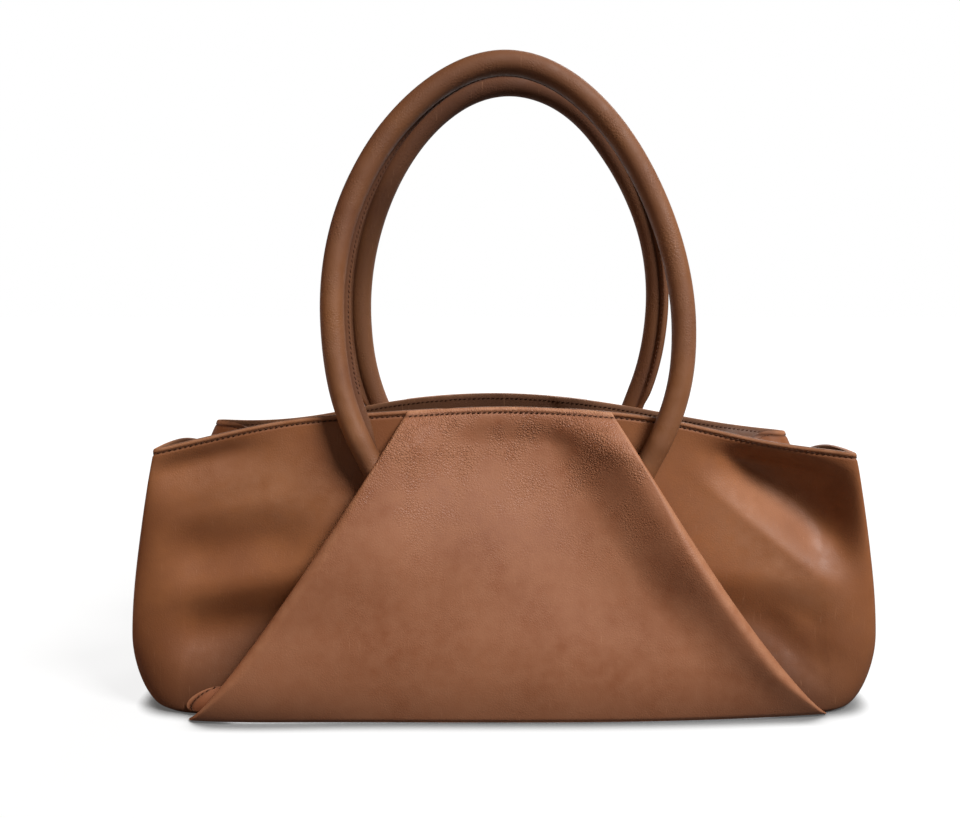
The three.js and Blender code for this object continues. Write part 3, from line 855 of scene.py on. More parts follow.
# Depth of the grain on each kind of piece
GRAIN_DEPTH = {"panel": 0.30 * MM, "side": 0.22 * MM, "handle": 0.20 * MM, "facing": 0.15 * MM}


def leather(kind):
    """The waxed calf of one kind of piece, in its two tones"""
    finish = bpy.context.scene.handbag_finish
    light = getattr(finish, kind)
    deep = getattr(finish, f"{kind}_deep")
    return made_once(f"waxed_calf_{kind}", soft_leather, light, deep, GRAIN_DEPTH[kind])


def lining_cloth():
    return made_once("cotton_twill_lining", woven_lining)


# Shares of the columns and rows of a wall: more of them round the corner and near the turned rim
SIDE_STOPS = ([0, 0.60, 0.76, 1], [0, CORNER_START, CORNER_END, 1])
FLOOR_STOPS = ([0, 0.75, 1], [0, CORNER_START, CORNER_END])
ROW_STOPS = ([0, 0.08, 0.72, 1], [0, 0.03, 0.93, 1])

# The end of a side panel, pulled in along its seam, and its foot, tucked in over the base
END_LENGTH = 45 * MM
SEAM_SINK = 1.5 * MM
SEAM_WIDTH = 2.2 * MM
FOOT_TUCK = 1.2 * MM
FOOT_TUCK_HEIGHT = 1.5 * MM

# Where the leather is rubbed pale, and where shade is painted dark on it, in the stitch line, along the end
# seam, at the top of the folded end, towards the foot and beside the pleat: a share, and how far it reaches
RIM_RUB = 0.9
RIM_RUB_WIDTH = 1.6 * MM
STITCH_SHADE = 0.5
STITCH_SHADE_WIDTH = 0.7 * MM
SEAM_SHADE = 0.6
SEAM_SHADE_WIDTH = 1.0 * MM
END_SHADE = 0.6
END_SHADE_FROM = 33 * MM
END_SHADE_DEPTH = 0.12
FOOT_SHADE = 0.42
FOOT_SHADE_HEIGHT = 70 * MM
PLEAT_SHADE = 0.45
PLEAT_SHADE_WIDTH = 20 * MM
PLEAT_SHADE_TOP = (40 * MM, 80 * MM)


def side_sheet(face, side, across, up):
    """A side panel's points, its distance below the rim and from the end seam, and its height"""
    t = np.interp(across if side > 0 else 1 - across, *SIDE_STOPS)
    rise = np.interp(up, *ROW_STOPS)
    start = pleat_start(side, rise)
    plain = wall_point(face, side, t, rise, 0, start)
    x, z = plain[:, 0], plain[:, 2]
    below_rim = rim_height(face, x) - z
    from_seam = (1 - t) / (1 - CORNER_END) * END_LENGTH
    relief = wall_relief(face, side, t, rise, start) + stitch_line(below_rim)
    relief -= SEAM_SINK * bell(from_seam, SEAM_WIDTH)
    relief -= FOOT_TUCK * bell(z - WALL_FOOT, FOOT_TUCK_HEIGHT)
    points = wall_point(face, side, t, rise, -relief, start)
    return turned(face, points), below_rim, from_seam, z


def side_panel(face, side):
    """A side panel from under the pleat round its corner to the end seam"""
    body = bpy.context.scene.handbag_body
    pleat = bpy.context.scene.handbag_pleat
    sewing = bpy.context.scene.handbag_stitching

    def place(across, up):
        return side_sheet(face, side, across, up)[0]

    def traits(across, up):
        points, below_rim, from_seam, z = side_sheet(face, side, across, up)
        x = np.abs(points[:, 0])
        beside_pleat = x - pleat_start(side, np.interp(up, *ROW_STOPS)) - pleat.underlap
        # Painted shade: along the end seam, at the top of the folded end, towards the foot, beside the
        # pleat's fold and in the stitch line
        end_top = (1 - ease(END_SHADE_FROM, END_LENGTH, from_seam)) * bell(1 - up, END_SHADE_DEPTH)
        at_foot = 1 - ease(0, FOOT_SHADE_HEIGHT, z)
        at_pleat = bell(beside_pleat, PLEAT_SHADE_WIDTH) * (1 - ease(*PLEAT_SHADE_TOP, z))
        shade = SEAM_SHADE * bell(from_seam, SEAM_SHADE_WIDTH) + FOOT_SHADE * at_foot + PLEAT_SHADE * at_pleat
        sewn = STITCH_SHADE * bell(below_rim - sewing.rim_drop, STITCH_SHADE_WIDTH)
        # Rubbed pale at the rim, with the face's painted highlights
        return {
            "grain": 0.1 + 0.12 * bell(below_rim, 30 * MM),
            "wear": RIM_RUB * bell(below_rim, RIM_RUB_WIDTH) + fold_relief(face.highlights(side), x, z) / MM,
            "crease": sewn + shade + END_SHADE * end_top,
        }

    name = f"{face.name}_{face.side_name(side)}"
    piece = grid_piece(f"{name}_side_leather", place, traits, columns=150, rows=120)
    thicken(piece, body.leather_thickness, edge_radius=0.5 * MM)
    settle(piece, leather("side"), "bag", "side_leather", f"{name}_panel")


class HANDBAG_OT_side_panels(bpy.types.Operator):
    """Lays the soft side panels, with their folds, round the four corners"""

    bl_idname = "handbag.side_panels"
    bl_label = "Side Panels"

    def execute(self, context):
        for face in FACES:
            for side in SIDES:
                side_panel(face, side)
        return {"FINISHED"}


# Shares of a centre panel's half width: its open face, then the roll of its fold, then the return
FACE_SHARE = 0.80
ROLL_SHARE = 0.11
RETURN_SINK = 0.3 * MM

# The fold is soft between these shares of the height, and opens over the handle
SOFT_FOLD_FROM = (0.02, 0.22)
SOFT_FOLD_TO = (0.55, 0.82)
FOLD_SHARE = 0.46
HANDLE_OPENING = 18 * MM
HANDLE_UNROLL = 0.5
SEWN_ROLL = 0.6
PLEAT_FOOT_TUCK = 1.0 * MM
PLEAT_FOOT_LIFT = 0.5 * MM
PLEAT_FOOT_LIFT_TOP = 12 * MM

# How far a centre panel's forms reach, from its folds and up from its foot
VALLEY_TO_FOLD = 28 * MM
VALLEY_TO_MIDDLE = 80 * MM
VALLEY_TOP = 92 * MM
RIDGE_PLACE = 5 * MM
RIDGE_WIDTH = 14 * MM
RIDGE_TOP = 40 * MM
SWELL_FADE = (80 * MM, 160 * MM)
FLARE_WIDTH = 70 * MM
FLARE_TOP = 60 * MM
FLAT_UNDER_RIM = 22 * MM


def centre_sheet(face, across, up):
    """A centre panel's points, its distance below the rim, how far round its folds it is, and its height"""
    pleat = bpy.context.scene.handbag_pleat
    handle = bpy.context.scene.handbag_handle
    rise = np.interp(up, *ROW_STOPS)
    reach = np.abs(2 * across - 1)
    side = np.where(across < 0.5, -1, 1)
    open_face = np.clip(reach / FACE_SHARE, 0, 1)
    roll = np.clip((reach - FACE_SHARE) / ROLL_SHARE, 0, 1)
    back = np.clip((reach - FACE_SHARE - ROLL_SHARE) / (1 - FACE_SHARE - ROLL_SHARE), 0, 1)
    half = pleat_half_width(rise)
    edge_x = side * half + pleat.shift
    edge_z = wall_height(face, edge_x, rise)
    at_handle = bell(edge_z - handle.hinge_height + handle.pleat_crossing, HANDLE_OPENING)
    edge_stand = pleat_stand(face, rise, 1 + 0 * rise) + centre_relief(face, edge_x, edge_z, half)
    loose = ease(*SOFT_FOLD_FROM, rise) * (1 - ease(*SOFT_FOLD_TO, rise))
    radius = np.minimum(mix(pleat.crisp_radius, pleat.soft_radius, loose), edge_stand * FOLD_SHARE)
    bent = math.pi * (1 - HANDLE_UNROLL * at_handle) * roll
    returned = back * (1 - at_handle)
    x = open_face * (half - radius) + radius * np.sin(bent) - returned * pleat.fold_return
    x = side * x + pleat.shift
    to_wall = edge_stand - 2 * radius + RETURN_SINK - relief_beside_pleat(face, side, np.abs(x), rise)
    inwards = radius * (1 - np.cos(bent)) + returned * to_wall
    z = wall_height(face, x, rise)
    below_rim = rim_height(face, x) - z
    open_stand = pleat_stand(face, rise, reach) + centre_relief(face, x, z, half)
    stand = np.where(back > 0, edge_stand, mix(open_stand, edge_stand, ease(0, 1, roll))) - inwards
    tucked = PLEAT_FOOT_TUCK * bell(z - WALL_FOOT, FOOT_TUCK_HEIGHT)
    sewn = stitch_line(below_rim) * (1 - ease(SEWN_ROLL, 1, roll)) - tucked
    y = -wall_half_depth(x, rise) - stand - sewn
    lifted = z + PLEAT_FOOT_LIFT * (1 - ease(0, PLEAT_FOOT_LIFT_TOP, z))
    return turned(face, np.stack([x, y, lifted], axis=-1)), below_rim, roll * (1 - back), z


def centre_relief(face, x, z, half):
    """Slack in a centre panel: sunk beside its loose right fold, swelling out above its foot"""
    pleat = bpy.context.scene.handbag_pleat
    from_fold = half + pleat.shift - x
    from_valley = from_fold - pleat.valley_reach
    valley_width = np.where(from_valley < 0, VALLEY_TO_FOLD, VALLEY_TO_MIDDLE)
    valley = bell(from_valley, valley_width) * ease(0, VALLEY_TOP, z)
    ridge = bell(from_fold - RIDGE_PLACE, RIDGE_WIDTH) * ease(0, RIDGE_TOP, z)
    swelling = 1 - np.clip(1 - z / pleat.belly_height, 0, 1) ** 2
    swelling = swelling * (1 - ease(*SWELL_FADE, z))
    flare = bell(x + half - pleat.shift, FLARE_WIDTH) * (1 - ease(0, FLARE_TOP, z))
    relief = pleat.ridge_height * ridge - pleat.valley_depth * valley + pleat.belly * swelling
    relief = relief + pleat.foot_flare * flare
    return relief * ease(0, FLAT_UNDER_RIM, rim_height(face, x) - z)


def centre_panel(face):
    """A centre panel with both its edges folded back"""
    pleat = bpy.context.scene.handbag_pleat
    sewing = bpy.context.scene.handbag_stitching

    def place(across, up):
        return centre_sheet(face, across, up)[0]

    def traits(across, up):
        _, below_rim, fold, z = centre_sheet(face, across, up)
        # Painted shade in the stitch line and towards the foot; paler at the rim and round the roll of each
        # fold
        sewn = STITCH_SHADE * bell(below_rim - sewing.rim_drop, STITCH_SHADE_WIDTH)
        return {
            "grain": 0.12 + 0.88 * bell(below_rim, 50 * MM),
            "wear": RIM_RUB * bell(below_rim, RIM_RUB_WIDTH) + 0.9 * bell(fold - 0.3, 0.35),
            "crease": sewn + 0.2 * (1 - ease(0, 30 * MM, z)),
        }

    piece = grid_piece(f"{face.name}_centre_leather", place, traits, columns=200, rows=130)
    thicken(piece, pleat.thickness, edge_radius=0.35 * MM)
    settle(piece, leather("panel"), "bag", "panel_leather", f"{face.name}_centre_panel")


PLEAT_TAB_FOOT = 3 * MM
PLEAT_TAB_TOP = 17 * MM
PLEAT_TAB_REACH = 11 * MM
PLEAT_TAB_UNDERLAP = 6 * MM
PLEAT_TAB_THICKNESS = 1.6 * MM
PLEAT_TAB_STAND = 1.9 * MM
PLEAT_TAB_CROWN = 1.4 * MM


def tab_points(across, up, stand):
    """Points of the half-round tab at the front's left foot, from under the fold (0) to its round edge (1)"""
    pleat = bpy.context.scene.handbag_pleat
    z = mix(PLEAT_TAB_FOOT, PLEAT_TAB_TOP, up)
    rise = rise_at(FRONT, pleat.foot_half_width, z)
    edge = pleat_half_width(rise) - pleat.shift
    roundness = np.sqrt(np.maximum(0, 1 - (2 * up - 1) ** 2))
    x = mix(edge - PLEAT_TAB_UNDERLAP, edge + PLEAT_TAB_REACH * roundness, across)
    out = wall_half_depth(x, rise) + relief_beside_pleat(FRONT, -1, x, rise) + stand
    return np.stack([-x, -out, z], axis=-1)


def pleat_tab():
    """A small half-round tab that tacks the pleat down at its left foot"""

    def place(across, up):
        out = 1 - across
        crown = PLEAT_TAB_CROWN * np.sin(math.pi * up) * (1 - out ** 3)
        return tab_points(out, up, PLEAT_TAB_STAND + crown)

    def traits(across, up):
        # Rubbed pale at its round edge, with painted shade in its stitch line
        return {
            "grain": 0.2 + 0 * up,
            "wear": 0.8 * bell(across, 0.12),
            "crease": 0.6 * bell(across - 0.2, 0.07),
        }

    piece = grid_piece("front_pleat_tab_leather", place, traits, columns=24, rows=24)
    thicken(piece, PLEAT_TAB_THICKNESS, edge_radius=0.3 * MM)
    settle(piece, leather("panel"), "bag", "panel_leather")


class HANDBAG_OT_centre_panels(bpy.types.Operator):
    """Lays the pleated centre panels over the side panels and the handles' feet, and tacks the front one"""

    bl_idname = "handbag.centre_panels"
    bl_label = "Centre Panels"

    def execute(self, context):
        for face in FACES:
            centre_panel(face)
        pleat_tab()
        return {"FINISHED"}


FACING_INSET = 0.15 * MM
FACING_STEP = 6 * MM
FACING_THICKNESS = 1.3 * MM
LINING_THICKNESS = 0.8 * MM
LINING_ROOM = 1 * MM
LINING_LAP = 0.003
LINING_SLACK = 2.2
SLACK_ENDS = 0.08
FLOOR_RIPPLE = 0.5 * MM
BOARD_TOP = 4.7 * MM


def band_point(face, across, rise, inset):
    """Points of a band that runs inside the wall from end seam to end seam and follows its folds"""
    side = np.where(across < 0.5, -1, 1)
    t = np.interp(np.abs(2 * across - 1), *SIDE_STOPS)
    return wall_point(face, side, t, rise, inset - wall_relief(face, side, t, rise, 0), 0)


def facing_rise():
    body = bpy.context.scene.handbag_body
    return 1 - body.facing_depth / body.rim_centre_height


def facing_inset(face, across, rise):
    """The facing lies on the side panels, and comes forward to the centre panel between the pleats"""
    body = bpy.context.scene.handbag_body
    x = np.abs(band_point(face, across, rise, 0)[:, 0])
    start = pleat_start(-1, rise)
    return FACING_INSET + body.leather_thickness * ease(start - FACING_STEP, start, x)


def facing(face):
    """The leather band inside the rim"""

    def place(across, up):
        rise = mix(facing_rise(), 1, up)
        return turned(face, band_point(face, across, rise, facing_inset(face, across, rise)))

    def traits(across, up):
        # Painted shade inside the mouth: all over, deeper at the foot of the band and at the folded ends;
        # rubbed pale along the rim
        end = ease(0.76, 0.84, np.abs(2 * across - 1))
        return {
            "grain": 0.3 + 0 * up,
            "wear": 0.9 * bell(1 - up, 0.05) * (1 - end),
            "crease": 0.35 + 0.4 * bell(up, 0.04) + 0.4 * end,
        }

    piece = grid_piece(f"{face.name}_facing_leather", place, traits, columns=200, rows=30)
    thicken(piece, FACING_THICKNESS, edge_radius=0.4 * MM)
    settle(piece, leather("facing"), "bag", "facing_leather", f"{face.name}_facing")


def lining(face):
    """The cloth lining below the facing, hanging in shallow gathers"""
    body = bpy.context.scene.handbag_body

    def place(across, up):
        foot = rise_at(None, body.rim_half_length, BOARD_TOP + LINING_THICKNESS)
        rise = mix(foot, facing_rise() - LINING_LAP, up)
        # Two waves of gathers that fall out of step along the wall
        gather = np.sin(across * 61) + 0.6 * np.sin(across * 37 + 2 * up)
        slack = np.sin(math.pi * up) * ease(0, SLACK_ENDS, across) * ease(0, SLACK_ENDS, 1 - across)
        inset = body.leather_thickness + LINING_ROOM + (LINING_SLACK + gather) * MM * slack
        return turned(face, band_point(face, across, rise, inset))

    piece = grid_piece(f"{face.name}_lining_cloth", place, columns=160, rows=50)
    thicken(piece, LINING_THICKNESS, edge_radius=0.2 * MM)
    settle(piece, lining_cloth(), "bag", "lining_cloth", f"{face.name}_lining")


def floor_sheet(across, up, inset, z):
    """A sheet that fills the foot of the walls, moved in from them by inset, with straight ends"""
    side = np.where(across < 0.5, -1, 1)
    t = np.interp(np.abs(2 * across - 1), *FLOOR_STOPS)
    edge = wall_point(FRONT, side, t, 0 * t, inset, 0)
    return np.stack([edge[:, 0], edge[:, 1] * (1 - 2 * up), z + 0 * up], axis=-1)


class HANDBAG_OT_inside(bpy.types.Operator):
    """Lines the bag: leather facings, cloth walls and a cloth floor over the board"""

    bl_idname = "handbag.inside"
    bl_label = "Facing and Lining"

    def execute(self, context):
        body = context.scene.handbag_body
        for face in FACES:
            facing(face)
            lining(face)

        def place(across, up):
            inset = body.leather_thickness + LINING_ROOM
            sheet = floor_sheet(across, up, inset, BOARD_TOP + LINING_THICKNESS)
            ripple = np.sin(sheet[:, 0] * 90) * np.sin(sheet[:, 1] * 130 + 1)
            sheet[:, 2] += FLOOR_RIPPLE * (1 + ripple)
            return sheet

        floor = grid_piece("lining_floor_cloth", place, columns=120, rows=40)
        thicken(floor, LINING_THICKNESS, edge_radius=0.2 * MM)
        settle(floor, lining_cloth(), "bag", "lining_cloth", "lining_floor")
        return {"FINISHED"}


class HANDBAG_OT_base(bpy.types.Operator):
    """Cuts the leather base panel, with its edge rounded over"""

    bl_idname = "handbag.base"
    bl_label = "Base Panel"

    def execute(self, context):
        body = context.scene.handbag_body

        def place(across, up):
            return floor_sheet(1 - across, up, body.base_inset, 0)

        def traits(across, up):
            edge = np.minimum(np.minimum(across, 1 - across) * 3, np.minimum(up, 1 - up))
            return {"grain": 0.4 + 0 * up, "wear": 0.6 * bell(edge, 0.02)}

        piece = grid_piece("base_leather", place, traits, columns=150, rows=50)
        thicken(piece, body.leather_thickness, edge_radius=0.7 * MM)
        settle(piece, leather("panel"), "bag", "panel_leather", "base_panel")
        return {"FINISHED"}


ROOT_STEPS = 30
LEG_STEPS = 60
CROWN_STEPS = 120
HANDLE_RINGS = 280
HANDLE_SIDES = 72
ROOT_FLAT_FROM = 0.55
ROOT_GAP = 0.3 * MM
FIN_GROWTH = 20 * MM
FIN_TWIST_RUN = (0.25, 0.5)
FIN_SQUARENESS = 8
FIN_ROUND_SHARE = 1.05
FIN_CROWDING = 1.6
MOUTH_TURN = math.radians(70)


def bezier(share, *points):
    """Points on a Bezier curve at these shares of it, by repeated mixing"""
    level = [np.array(point)[None, :] for point in points]
    while len(level) > 1:
        level = [mix(a, b, share[:, None]) for a, b in zip(level, level[1:])]
    return level[0]


def hinge_half_depth():
    handle = bpy.context.scene.handbag_handle
    return float(wall_half_depth(handle.hinge_half_span, 1.0)) + handle.rim_clearance + handle.radius


def half_handle_line():
    """The front handle's centre line from its right foot to its crown, and how far it is flattened"""
    handle = bpy.context.scene.handbag_handle
    hinge = np.array([handle.hinge_half_span, handle.hinge_height])
    slant = np.array([math.sin(handle.hinge_slant), math.cos(handle.hinge_slant)])
    share = np.linspace(1, 0, ROOT_STEPS, endpoint=False)
    foot = (handle.root_foot_half_span, handle.hinge_height - handle.root_drop)
    root = bezier(share, hinge, hinge - slant * handle.root_knee, foot)
    flat = ease(ROOT_FLAT_FROM, 1, share)
    wall = wall_half_depth(root[:, 0], rise_at(None, root[:, 0], root[:, 1]))
    at_hinge = wall_half_depth(hinge[0], rise_at(None, hinge[0], hinge[1]))
    hinge_gap = hinge_half_depth() - handle.radius - at_hinge
    stand = mix(hinge_gap, ROOT_GAP, ease(0, ROOT_FLAT_FROM, share))
    root_y = -wall - stand - mix(handle.radius, handle.tab_half_thickness, flat)
    waist = handle.waist_height - handle.hinge_height
    crown = handle.top_height - handle.hinge_height
    leg = bezier(
        np.linspace(0, 1, LEG_STEPS, endpoint=False),
        (hinge[0], 0), (hinge[0] + handle.hinge_ease * slant[0], handle.hinge_ease * slant[1]),
        (handle.half_span, waist - handle.hinge_ease), (handle.half_span, waist))
    arch = bezier(
        np.linspace(0, 1, CROWN_STEPS),
        (handle.half_span, waist), (handle.half_span, waist + handle.crown_ease),
        (handle.crown_reach, crown), (0, crown))
    loop = np.concatenate([leg, arch])
    loop_y = loop[:, 1] * math.sin(handle.lean) - hinge_half_depth()
    loop_z = loop[:, 1] * math.cos(handle.lean) + handle.hinge_height
    line = np.concatenate([
        np.stack([root[:, 0], root_y, root[:, 1]], axis=-1),
        np.stack([loop[:, 0], loop_y, loop_z], axis=-1)])
    return line, np.concatenate([flat, np.zeros(len(loop))])


def handle_frames(face, count):
    """Even steps along a handle from left foot to right foot: centres, directions and flatness"""
    handle = bpy.context.scene.handbag_handle
    half, half_flat = half_handle_line()
    mirrored = half * np.array([-1, 1, 1])
    line = np.concatenate([mirrored, half[-2::-1]])
    flat = np.concatenate([half_flat, half_flat[-2::-1]])
    walked = walked_along(line)
    at = np.linspace(0, walked[-1], count)
    centres = points_between(at, walked, line)
    for drift in face.handle_drifts:
        centres[:, 0] += drift.shift * MM * ease(drift.start, drift.end, at / at[-1])
    ahead = unit(np.gradient(centres, axis=0))
    backwards = np.array([0, math.cos(handle.lean), -math.sin(handle.lean)])
    backwards = unit(backwards - ahead * (ahead @ backwards)[:, None])
    return {
        "at": at, "centre": centres, "ahead": ahead, "backwards": backwards,
        "inwards": np.cross(backwards, ahead), "flat": np.interp(at, walked, flat),
    }


def along_handle(frames, name, share):
    """A value of the handle's frames at shares of its length"""
    values = frames[name]
    stops = np.linspace(0, 1, len(values))
    if values.ndim == 1:
        return np.interp(share, stops, values)
    return points_between(share, stops, values)


def round_handle(face, frames, share, turn, reach_in, reach_back):
    """Points round a handle's line, at a turn from the inside of the loop towards the mouth"""
    inwards = along_handle(frames, "inwards", share) * (reach_in * np.cos(turn))[:, None]
    backwards = along_handle(frames, "backwards", share) * (reach_back * np.sin(turn))[:, None]
    return turned(face, along_handle(frames, "centre", share) + inwards + backwards)


def fin_share(face, z):
    """How far the sewn fin has grown out of the roll at a height"""
    start = bpy.context.scene.handbag_handle.hinge_height + face.fin_start * MM
    return ease(start, start + FIN_GROWTH, z)


def fin_turn(face, share):
    """How far the fin is turned from the inside of the loop towards the mouth"""
    return np.radians(face.fin_tilt + face.fin_twist * ease(*FIN_TWIST_RUN, share))


def handle_roll(face):
    """One handle: a roll with its sewn fin, flattened to tabs that lie under the pleat"""
    handle = bpy.context.scene.handbag_handle
    frames = handle_frames(face, HANDLE_RINGS + 1)
    fin_half_angle = math.asin(handle.fin_width / 2 / handle.radius)

    def angle_from_fin(across):
        """The angle round the roll: more of the grid's sides lie on the fin"""
        round_share = 2 * across - 1
        return math.pi * np.sign(round_share) * np.abs(round_share) ** FIN_CROWDING

    def place(across, up):
        from_fin = angle_from_fin(across)
        height = along_handle(frames, "centre", up)[:, 2]
        on_fin = np.exp(-(from_fin / fin_half_angle / FIN_ROUND_SHARE) ** FIN_SQUARENESS)
        fin = handle.fin_length * fin_share(face, height) * on_fin
        flat = along_handle(frames, "flat", up)
        turn = from_fin + fin_turn(face, up)
        reach_in = mix(handle.radius, handle.tab_half_width, flat) + fin
        reach_back = mix(handle.radius, handle.tab_half_thickness, flat) + fin
        return round_handle(face, frames, up, turn, reach_in, reach_back)

    def traits(across, up):
        from_fin = np.abs(2 * across - 1)
        # Painted shade round the crown of the loop
        crown_shade = bell(up - 0.5, 0.2)
        towards_mouth = np.cos(angle_from_fin(across) + fin_turn(face, up) - MOUTH_TURN)
        # Painted shade at the root of the fin, round the crown and on the side that faces the mouth; the
        # fin's edge and the side away from it are rubbed pale
        return {
            "grain": 0.45 + 0 * up,
            "wear": (0.35 * bell(from_fin - 0.8, 0.3) + 0.5 * bell(from_fin, 0.05)) * (1 - 0.7 * crown_shade),
            "crease": 0.5 * bell(from_fin - 0.24, 0.05) + 0.45 * crown_shade + 0.5 * np.maximum(0, towards_mouth),
        }

    piece = grid_piece(
        f"{face.name}_handle_leather", place, traits, columns=HANDLE_SIDES, rows=HANDLE_RINGS)
    close_tube()
    nodes = [f"{face.name}_{face.side_name(side)}_handle_root" for side in SIDES]
    settle(piece, leather("handle"), None, "handle_leather", f"{face.name}_handle_cover", *nodes)
    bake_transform(piece)


def handle_cord(face):
    """The cord inside a handle's roll, above its hinge"""
    handle = bpy.context.scene.handbag_handle
    frames = handle_frames(face, HANDLE_RINGS + 1)
    above = np.flatnonzero(frames["centre"][:, 2] > handle.hinge_height)
    first, last = above[0] / HANDLE_RINGS, above[-1] / HANDLE_RINGS

    def place(across, up):
        turn = 2 * math.pi * across
        return round_handle(face, frames, mix(first, last, up), turn, handle.cord_radius, handle.cord_radius)

    piece = grid_piece(f"{face.name}_handle_cord", place, columns=16, rows=140)
    close_tube()
    cotton = made_once("twisted_cotton_cord", twisted_cotton)
    settle(piece, cotton, f"{face.name}_handle", "core_cord", f"{face.name}_handle_core")


def close_tube():
    """Welds the active tube along its seam and caps its ends"""
    bpy.ops.object.mode_set(mode="EDIT")
    bpy.ops.mesh.select_all(action="SELECT")
    bpy.ops.mesh.remove_doubles(threshold=0.01 * MM)
    bpy.ops.mesh.fill_holes(sides=0)
    bpy.ops.object.mode_set(mode="OBJECT")


class HANDBAG_OT_handles(bpy.types.Operator):
    """Rolls the two handles over their cords and tucks their feet under the pleats"""

    bl_idname = "handbag.handles"
    bl_label = "Handles"

    def execute(self, context):
        for face in FACES:
            handle_roll(face)
            handle_cord(face)
        return {"FINISHED"}


def stitch_shape():
    """One stitch: a short thread that dips in at both ends, lying along X with its back to +Z"""
    sewing = bpy.context.scene.handbag_stitching
    deselect_all()
    bpy.ops.mesh.primitive_uv_sphere_add(segments=6, ring_count=5, radius=0.5, rotation=(0, math.pi / 2, 0))
    model = bpy.context.object
    bpy.ops.transform.resize(value=(sewing.stitch_length, sewing.thread, sewing.thread))
    bpy.ops.object.transform_apply(location=True, rotation=True, scale=True)
    points = np.array([vertex.co for vertex in model.data.vertices])
    faces = [list(polygon.vertices) for polygon in model.data.polygons]
    bpy.data.meshes.remove(model.data)
    return points, faces


def sew(name, rows, body):
    """Joins copies of one stitch along rows, each a set of places, directions along and directions out"""
    sewing = bpy.context.scene.handbag_stitching
    shape, shape_faces = stitch_shape()
    points = []
    faces = []
    for places, straight, out in rows:
        along = straight * math.cos(sewing.slant) + np.cross(out, straight) * math.sin(sewing.slant)
        across = np.cross(out, along)
        for i in range(len(places)):
            offset = len(points) * len(shape)
            points.append(places[i] + shape @ np.stack([along[i], across[i], out[i]]))
            faces.extend([[corner + offset for corner in polygon] for polygon in shape_faces])
    mesh = bpy.data.meshes.new(name)
    mesh.from_pydata(np.concatenate(points).tolist(), [], faces)
    piece = bpy.data.objects.new(name, mesh)
    bpy.context.scene.collection.objects.link(piece)
    thread = made_once("bonded_polyester_thread", bonded_thread)
    return settle(piece, thread, body, "handle_leather")


def even_row(line, pitch, raise_by, face_in=False):
    """Stitches at even steps along a line that runs to the right as seen from outside"""
    walked = walked_along(line)
    at = np.arange(pitch / 2, walked[-1], pitch)
    places = points_between(at, walked, line)
    ahead = points_between(at + pitch / 4, walked, line)
    along = unit(ahead - points_between(at - pitch / 4, walked, line))
    out = unit(np.stack([along[:, 1], -along[:, 0], np.zeros(len(along))], axis=-1))
    out = -out if face_in else out
    return places + out * raise_by, along, out


RIM_SAMPLES = 800
THREAD_SHOWN = 0.3
ROW_END_GAP = 2 * MM


def rim_rows(face):
    """Stitch rows along one face's rim: on the side panels, on the centre panel and on the facing"""
    body = bpy.context.scene.handbag_body
    pleat = bpy.context.scene.handbag_pleat
    sewing = bpy.context.scene.handbag_stitching
    share = np.linspace(0, 1, RIM_SAMPLES)
    drop = 1 - sewing.rim_drop / body.rim_centre_height
    lie = sewing.thread * THREAD_SHOWN
    rows = []
    for side in SIDES:
        t = np.interp(share if side > 0 else 1 - share, *SIDE_STOPS)
        start = pleat_half_width(drop) + side * pleat.shift
        line = wall_point(face, side, t, drop + 0 * t, sewing.groove_depth, start)
        rows.append(even_row(line, sewing.pitch, lie))
    half = pleat_half_width(drop) - ROW_END_GAP
    x = mix(-half, half, share) + pleat.shift
    stand = pleat_stand(face, drop, FACE_SHARE * np.abs(2 * share - 1))
    y = sewing.groove_depth - wall_half_depth(x, drop) - stand
    rows.append(even_row(np.stack([x, y, wall_height(face, x, drop)], axis=-1), sewing.pitch, lie))
    rise = drop + 0 * share
    inside = band_point(face, share, rise, facing_inset(face, share, rise) + FACING_THICKNESS)
    rows.append(even_row(inside, sewing.pitch, lie, face_in=True))
    return [tuple(turned(face, part) for part in row) for row in rows]


FIN_SEWN_FROM = 21 * MM
FIN_ROW_SIDE = 0.64


def fin_rows(face):
    """Stitch rows on both sides of a handle's fin, from clear above the rim"""
    handle = bpy.context.scene.handbag_handle
    sewing = bpy.context.scene.handbag_stitching
    frames = handle_frames(face, HANDLE_RINGS + 1)
    count = int(frames["at"][-1] / sewing.pitch)
    share = (np.arange(count) + 0.5) / count
    centre = along_handle(frames, "centre", share)
    share = share[centre[:, 2] > handle.hinge_height + FIN_SEWN_FROM]
    centre = along_handle(frames, "centre", share)
    inwards = along_handle(frames, "inwards", share)
    backwards = along_handle(frames, "backwards", share)
    along = along_handle(frames, "ahead", share)
    tilt = fin_turn(face, share)[:, None]
    fin_out = inwards * np.cos(tilt) + backwards * np.sin(tilt)
    fin_side = backwards * np.cos(tilt) - inwards * np.sin(tilt)
    rows = []
    for way in SIDES:
        reach = handle.radius + sewing.fin_drop
        places = centre + fin_out * reach + fin_side * way * handle.fin_width * FIN_ROW_SIDE
        rows.append(tuple(turned(face, part) for part in (places, along, fin_side * way)))
    return rows


TAB_STITCHES = 9
TAB_ROW_ENDS = (0.06, 0.94)
TAB_ROW_PLACE = 0.8
TAB_ROW_STAND = 2.0 * MM
TAB_ROW_CROWN = 0.7 * MM


def tab_row():
    """The stitch row round the tab's edge"""
    share = np.linspace(*TAB_ROW_ENDS, TAB_STITCHES)
    stand = TAB_ROW_STAND + TAB_ROW_CROWN * np.sin(math.pi * share)
    places = tab_points(TAB_ROW_PLACE + 0 * share, share, stand)
    along = unit(np.gradient(places, axis=0))
    out = np.cross(along, np.cross([0.0, -1.0, 0.0], along))
    return places, along, unit(out)


